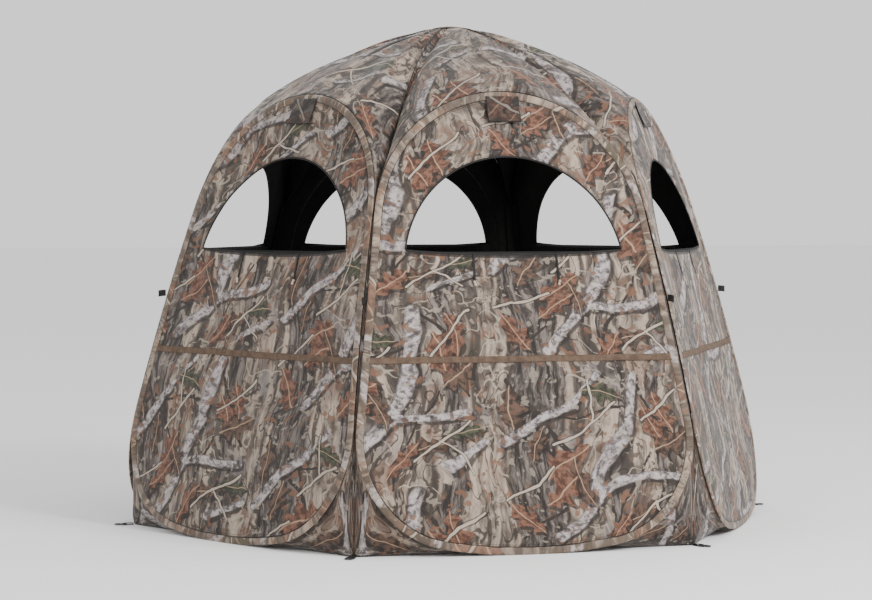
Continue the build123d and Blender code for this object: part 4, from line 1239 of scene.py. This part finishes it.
def binding(bm, path, side):
    """A narrow rolled edge along (u, z, outward turn) points, over the cloth's edge."""
    path = list(path)
    count = len(path) - 1

    def place(a, b):
        u, z, turn = path[round(a * count)]
        round_turn = 2 * math.pi * (b % 1.0)
        across, out = BINDING_HALF * (1 + math.cos(round_turn)), BINDING_RISE * math.sin(round_turn)
        return Vector((u + across * math.cos(turn), z + across * math.sin(turn), out - CLOTH / 2))

    tube = flat_grid(count, 8, place)
    set_uv(tube, "cloth", lambda place: (place.x, place.y))
    for v in tube.verts:
        v.co = hang(side, v.co.x, v.co.y, v.co.z)
    weld(tube, FINE_MERGE)
    bmesh.ops.holes_fill(tube, edges=[edge for edge in tube.edges if edge.is_boundary], sides=0)
    bmesh.ops.recalc_face_normals(tube, faces=tube.faces[:])
    take_in(bm, tube)


def arch_points(count=90):
    start = math.asin((SILL_Z - ARCH_CENTRE) / ARCH_RADIUS)
    for step in range(count + 1):
        turn = start + (math.pi - 2 * start) * step / count
        yield ARCH_RADIUS * math.cos(turn), ARCH_CENTRE + ARCH_RADIUS * math.sin(turn), turn


def sill_points(count=70):
    for step in range(count + 1):
        yield WINDOW_HALF * (1.008 - 2.016 * step / count), SILL_Z, -math.pi / 2


for side, name in enumerate(SIDE_NAMES):
    bm = bmesh.new()
    binding(bm, arch_points(), side)
    binding(bm, sill_points(), side)
    at_door = side == DOOR_SIDE
    carrier, node = ("door", "door_window_binding") if at_door else (ROOT, "window_bindings")
    piece(f"window_binding_{name}", bm, carrier, [tape], [node], recalc=False)


for side in WINDOW_SIDES:

    def on_strap(a, b, side=side):
        z = STRAP_Z + STRAP_WIDTH * (b - 0.5)
        u = HOOP.inside(SLEEVE_WIDTH - 0.001).side_u(z) * (2 * a - 1)
        wave = 0.0016 * hills(u, 0, 0.14, side + 91)
        lift = 0.0016 * max(0.0, hills(u * 1.3, 0, 0.10, side + 95))
        return Vector((u, z + wave, lift))

    bm = flat_grid(160, 5, on_strap)
    set_uv(bm, "cloth", lambda at: (at.x, at.y))
    hang_all(bm, side, 0.0004)
    piece(
        f"brush_strap_{SIDE_NAMES[side]}", bm, ROOT, [strap_web], ["brush_straps"],
        STRAP_WEB, recalc=False, offset=1.0,
    )

# Radius and place along a toggle, from one end to the other.
TOGGLE_HALF = [(0.0031, 0.0018), (0.0040, 0.0028), (0.0038, 0.0074), (0.0026, 0.0088), (0.0, 0.009)]
TOGGLE_PROFILE = [(radius, -along) for radius, along in reversed(TOGGLE_HALF)] + TOGGLE_HALF
for side, name in enumerate(SIDE_NAMES):
    at_door = side == DOOR_SIDE
    carrier = "door" if at_door else ROOT
    ties, toggles = bmesh.new(), bmesh.new()
    for sign in (-1, 1):
        sway = 0.006 * hills(sign, side, 0.7, 5)

        def on_tie(a, b):
            z = SILL_Z - 0.0006 - TIE_LENGTH * a
            u = sign * TIE_SPACING / 2 + TIE_WIDTH * (b - 0.5) + sway * a**2
            return Vector((u, z, 0.0018 * a * (1 + hills(a, sign, 0.4, side))))

        tie = flat_grid(26, 3, on_tie)
        set_uv(tie, "cloth", lambda at: (at.x, at.y))
        hang_all(tie, side, 0.0005)
        take_in(ties, tie)

        middle_z = SILL_Z - TIE_LENGTH - 0.009
        toggle = bmesh.new()
        ends = [toggle.verts.new((radius, 0, along)) for radius, along in TOGGLE_PROFILE]
        edges = [toggle.edges.new(pair) for pair in zip(ends, ends[1:])]
        bmesh.ops.spin(
            toggle,
            geom=ends + edges,
            cent=(0, 0, 0),
            axis=UP,
            angle=2 * math.pi,
            steps=20,
            use_merge=True,
        )
        weld(toggle, 0.00001)
        bmesh.ops.recalc_face_normals(toggle, faces=toggle.faces[:])
        lean = math.asin((middle_z - WALL_Z) / WALL_RADIUS)
        rest = hang(side, sign * TIE_SPACING / 2 + sway, middle_z, 0.0054)
        turned = Matrix.Translation(rest) @ Matrix.Rotation(TURN * side, 4, "Z")
        turned = turned @ Matrix.Rotation(-lean, 4, "X") @ Matrix.Rotation(0.3 * sign, 4, "Y")
        bmesh.ops.transform(toggle, matrix=turned, verts=toggle.verts[:])
        take_in(toggles, toggle)
    tie_node, toggle_node = ("door_ties", "door_toggles") if at_door else ("window_ties", "tie_toggles")
    piece(
        f"cover_ties_{name}", ties, carrier, [tie_web], [tie_node],
        TAPE_WEB, recalc=False, offset=1.0,
    )
    piece(
        f"cover_toggles_{name}", toggles, carrier, [toggle_finish], [toggle_node],
        recalc=False,
    )

FLAP_TOP_Z = HOOP_TOP_Z - FLAP_DROP


def flap_edge(u, z):
    return min(FLAP_WIDTH / 2 - abs(u), z - FLAP_TOP_Z + FLAP_HEIGHT), u + z


for side, name in enumerate(SIDE_NAMES):

    def on_flap(a, b, side=side):
        z = FLAP_TOP_Z - FLAP_HEIGHT * b
        u = FLAP_WIDTH * (a - 0.5) * (1 - 0.02 * math.sin(math.pi * b))
        lift = 0.0042 * smooth(0.3, 1.0, b) * (0.7 + 0.6 * hills(a, b, 0.7, side + 15))
        corner = 0.004 * (abs(a - 0.5) * 2) ** 3 * b**2
        return Vector((u, z, lift + corner))

    bm = flat_grid(28, 22, on_flap)
    flat = flat_size(bm)
    mark_cloth(bm, flap_edge, 1.2, (0.5 + 0.2 * side, 0.3))
    hang_all(bm, side, FLAP_LAYER, rough=False)
    obj = cloth_sheet(
        f"top_flap_cloth_{name}", bm, f"top_flap_{name}_body",
        [flap_print_in_painted_shade, lining], [f"top_flap_{name}"],
    )
    obj.parent = None
    hang(side, 0, FLAP_TOP_Z, FLAP_LAYER, rough=False)
    hang(side, 0, FLAP_TOP_Z - 0.005, FLAP_LAYER, rough=False)
    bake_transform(obj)


# ---------------------------------------------------------------- corner loops of webbing, and rod pockets
def loop_band(section, width, turned, count=48):
    """A closed band of webbing. The section gives how far out and up it is at a turn round the band."""
    bm = flat_grid(count, 4, lambda a, b: Vector((a, b, 0)))
    set_uv(bm, "cloth", lambda at: (at.x * 0.07, at.y * 0.02))
    for v in bm.verts:
        out, up = section(2 * math.pi * (v.co.x % 1.0))
        v.co = turned(out, up, width * (v.co.y - 0.5))
    weld(bm, FINE_MERGE)
    return bm


guy_start = wall_n(GUY_LOOP_Z) / math.cos(TURN / 2) + SLEEVE_THICKNESS / 2 + 0.001
stake_start = SKIRT_N / math.cos(TURN / 2) + 0.0016


def guy_section(turn):
    out = guy_start + GUY_LOOP_REACH / 2 * (1 - math.cos(turn))
    return out, math.sin(turn) * (0.0016 + 0.0016 * (1 - math.cos(turn)) / 2)


def stake_section(turn):
    out = stake_start + STAKE_LOOP_REACH * ((1 - math.cos(turn)) / 2)
    return out, STAKE_LOOP_HEIGHT / 2 + 0.0027 * math.copysign(abs(math.sin(turn)) ** 0.45, math.sin(turn))


guys, stakes = bmesh.new(), bmesh.new()
for corner in range(SIDES):
    spin = on_side(corner + 0.5)
    droop = 0.002 * hills(corner, 1, 0.7, 4)

    def as_guy(out, swell, across):
        fall = (out - guy_start) / GUY_LOOP_REACH
        return spin @ Vector((swell, -out, GUY_LOOP_Z + across - (0.003 + droop) * fall**2))

    def as_stake(out, up, across):
        return spin @ Vector((across, -out, up))

    take_in(guys, loop_band(guy_section, GUY_LOOP_WIDTH, as_guy))
    take_in(stakes, loop_band(stake_section, STAKE_LOOP_WIDTH, as_stake))
piece("guy_line_loops", guys, ROOT, [black_web], ["guy_loops"], WEBBING, offset=0.0)
piece("stake_ring_loops", stakes, ROOT, [black_web], ["stake_loops"], WEBBING, offset=0.0)

ROD_END_Z = HOOP_TOP_Z - 0.088
POCKET_HALF_WIDTH, POCKET_HALF_HEIGHT, POCKET_DEPTH = 0.028, 0.027, 0.031
pockets = bmesh.new()
for side in range(SIDES):

    def on_pocket(a, b):
        u = POCKET_HALF_WIDTH * (2 * a - 1)
        z = ROD_END_Z + POCKET_HALF_HEIGHT * (2 * b - 1)
        fill = math.cos(math.pi / 2 * (2 * a - 1)) ** 0.6 if 0 < a < 1 else 0.0
        mouth = 0.35 + 0.65 * smooth(0.0, 0.8, b)
        return Vector((u, z, -CLOTH - POCKET_DEPTH * fill * mouth))

    pocket = flat_grid(22, 18, on_pocket)
    set_uv(pocket, "cloth", lambda at: (at.x, at.y))
    hang_all(pocket, side, rough=False)
    take_in(pockets, pocket)
piece(
    "rod_end_pockets", pockets, ROOT, [lining], ["rod_pockets"], CLOTH,
    recalc=False, offset=0.0,
)


# ---------------------------------------------------------------- camera, floor and light
LENS, SENSOR_WIDTH = 101.4, 36.0
EYE = (-2.142, -8.235, 1.060)
LOOK_DOWN = math.radians(2.11)
FLOOR_SIZE = 60.0
ROOM_LIGHT = 1.15
camera_data = bpy.data.cameras.new("camera")
camera_data.lens = LENS
camera_data.sensor_width = SENSOR_WIDTH
camera = bpy.data.objects.new("camera", camera_data)
bpy.context.scene.collection.objects.link(camera)
camera.location = EYE
gaze = Vector((0.2463, 0.9692, -math.tan(LOOK_DOWN)))
camera.rotation_euler = gaze.to_track_quat("-Z", "Y").to_euler()
bpy.context.scene.camera = camera

floor_bm = bmesh.new()
bmesh.ops.create_grid(floor_bm, x_segments=1, y_segments=1, size=FLOOR_SIZE)
floor_mesh = bpy.data.meshes.new("floor")
floor_bm.to_mesh(floor_mesh)
floor_bm.free()
floor = bpy.data.objects.new("floor", floor_mesh)
bpy.context.scene.collection.objects.link(floor)
floor_graph = Graph("pale floor")
floor_mesh.materials.append(floor_graph.finish({}, Base_Color=colour(0.92, 0.92, 0.92), Roughness=0.9))

world = bpy.data.worlds.new("pale room")
bpy.context.scene.world = world
world.use_nodes = True
background = world.node_tree.nodes["Background"].inputs
background["Color"].default_value = colour(1.0, 1.0, 1.0)
background["Strength"].default_value = ROOM_LIGHT


def soft_light(name, place, target, size, power):
    light = bpy.data.lights.new(name, "AREA")
    light.shape = "SQUARE"
    light.size = size
    light.energy = power
    obj = bpy.data.objects.new(name, light)
    bpy.context.scene.collection.objects.link(obj)
    obj.location = place
    obj.rotation_euler = (Vector(target) - Vector(place)).to_track_quat("-Z", "Y").to_euler()


soft_light("key", (3.4, -5.6, 4.6), (0, 0, 0.9), 2.6, 560)
soft_light("fill", (-5.0, -4.0, 3.0), (0, 0, 0.8), 4.0, 60)
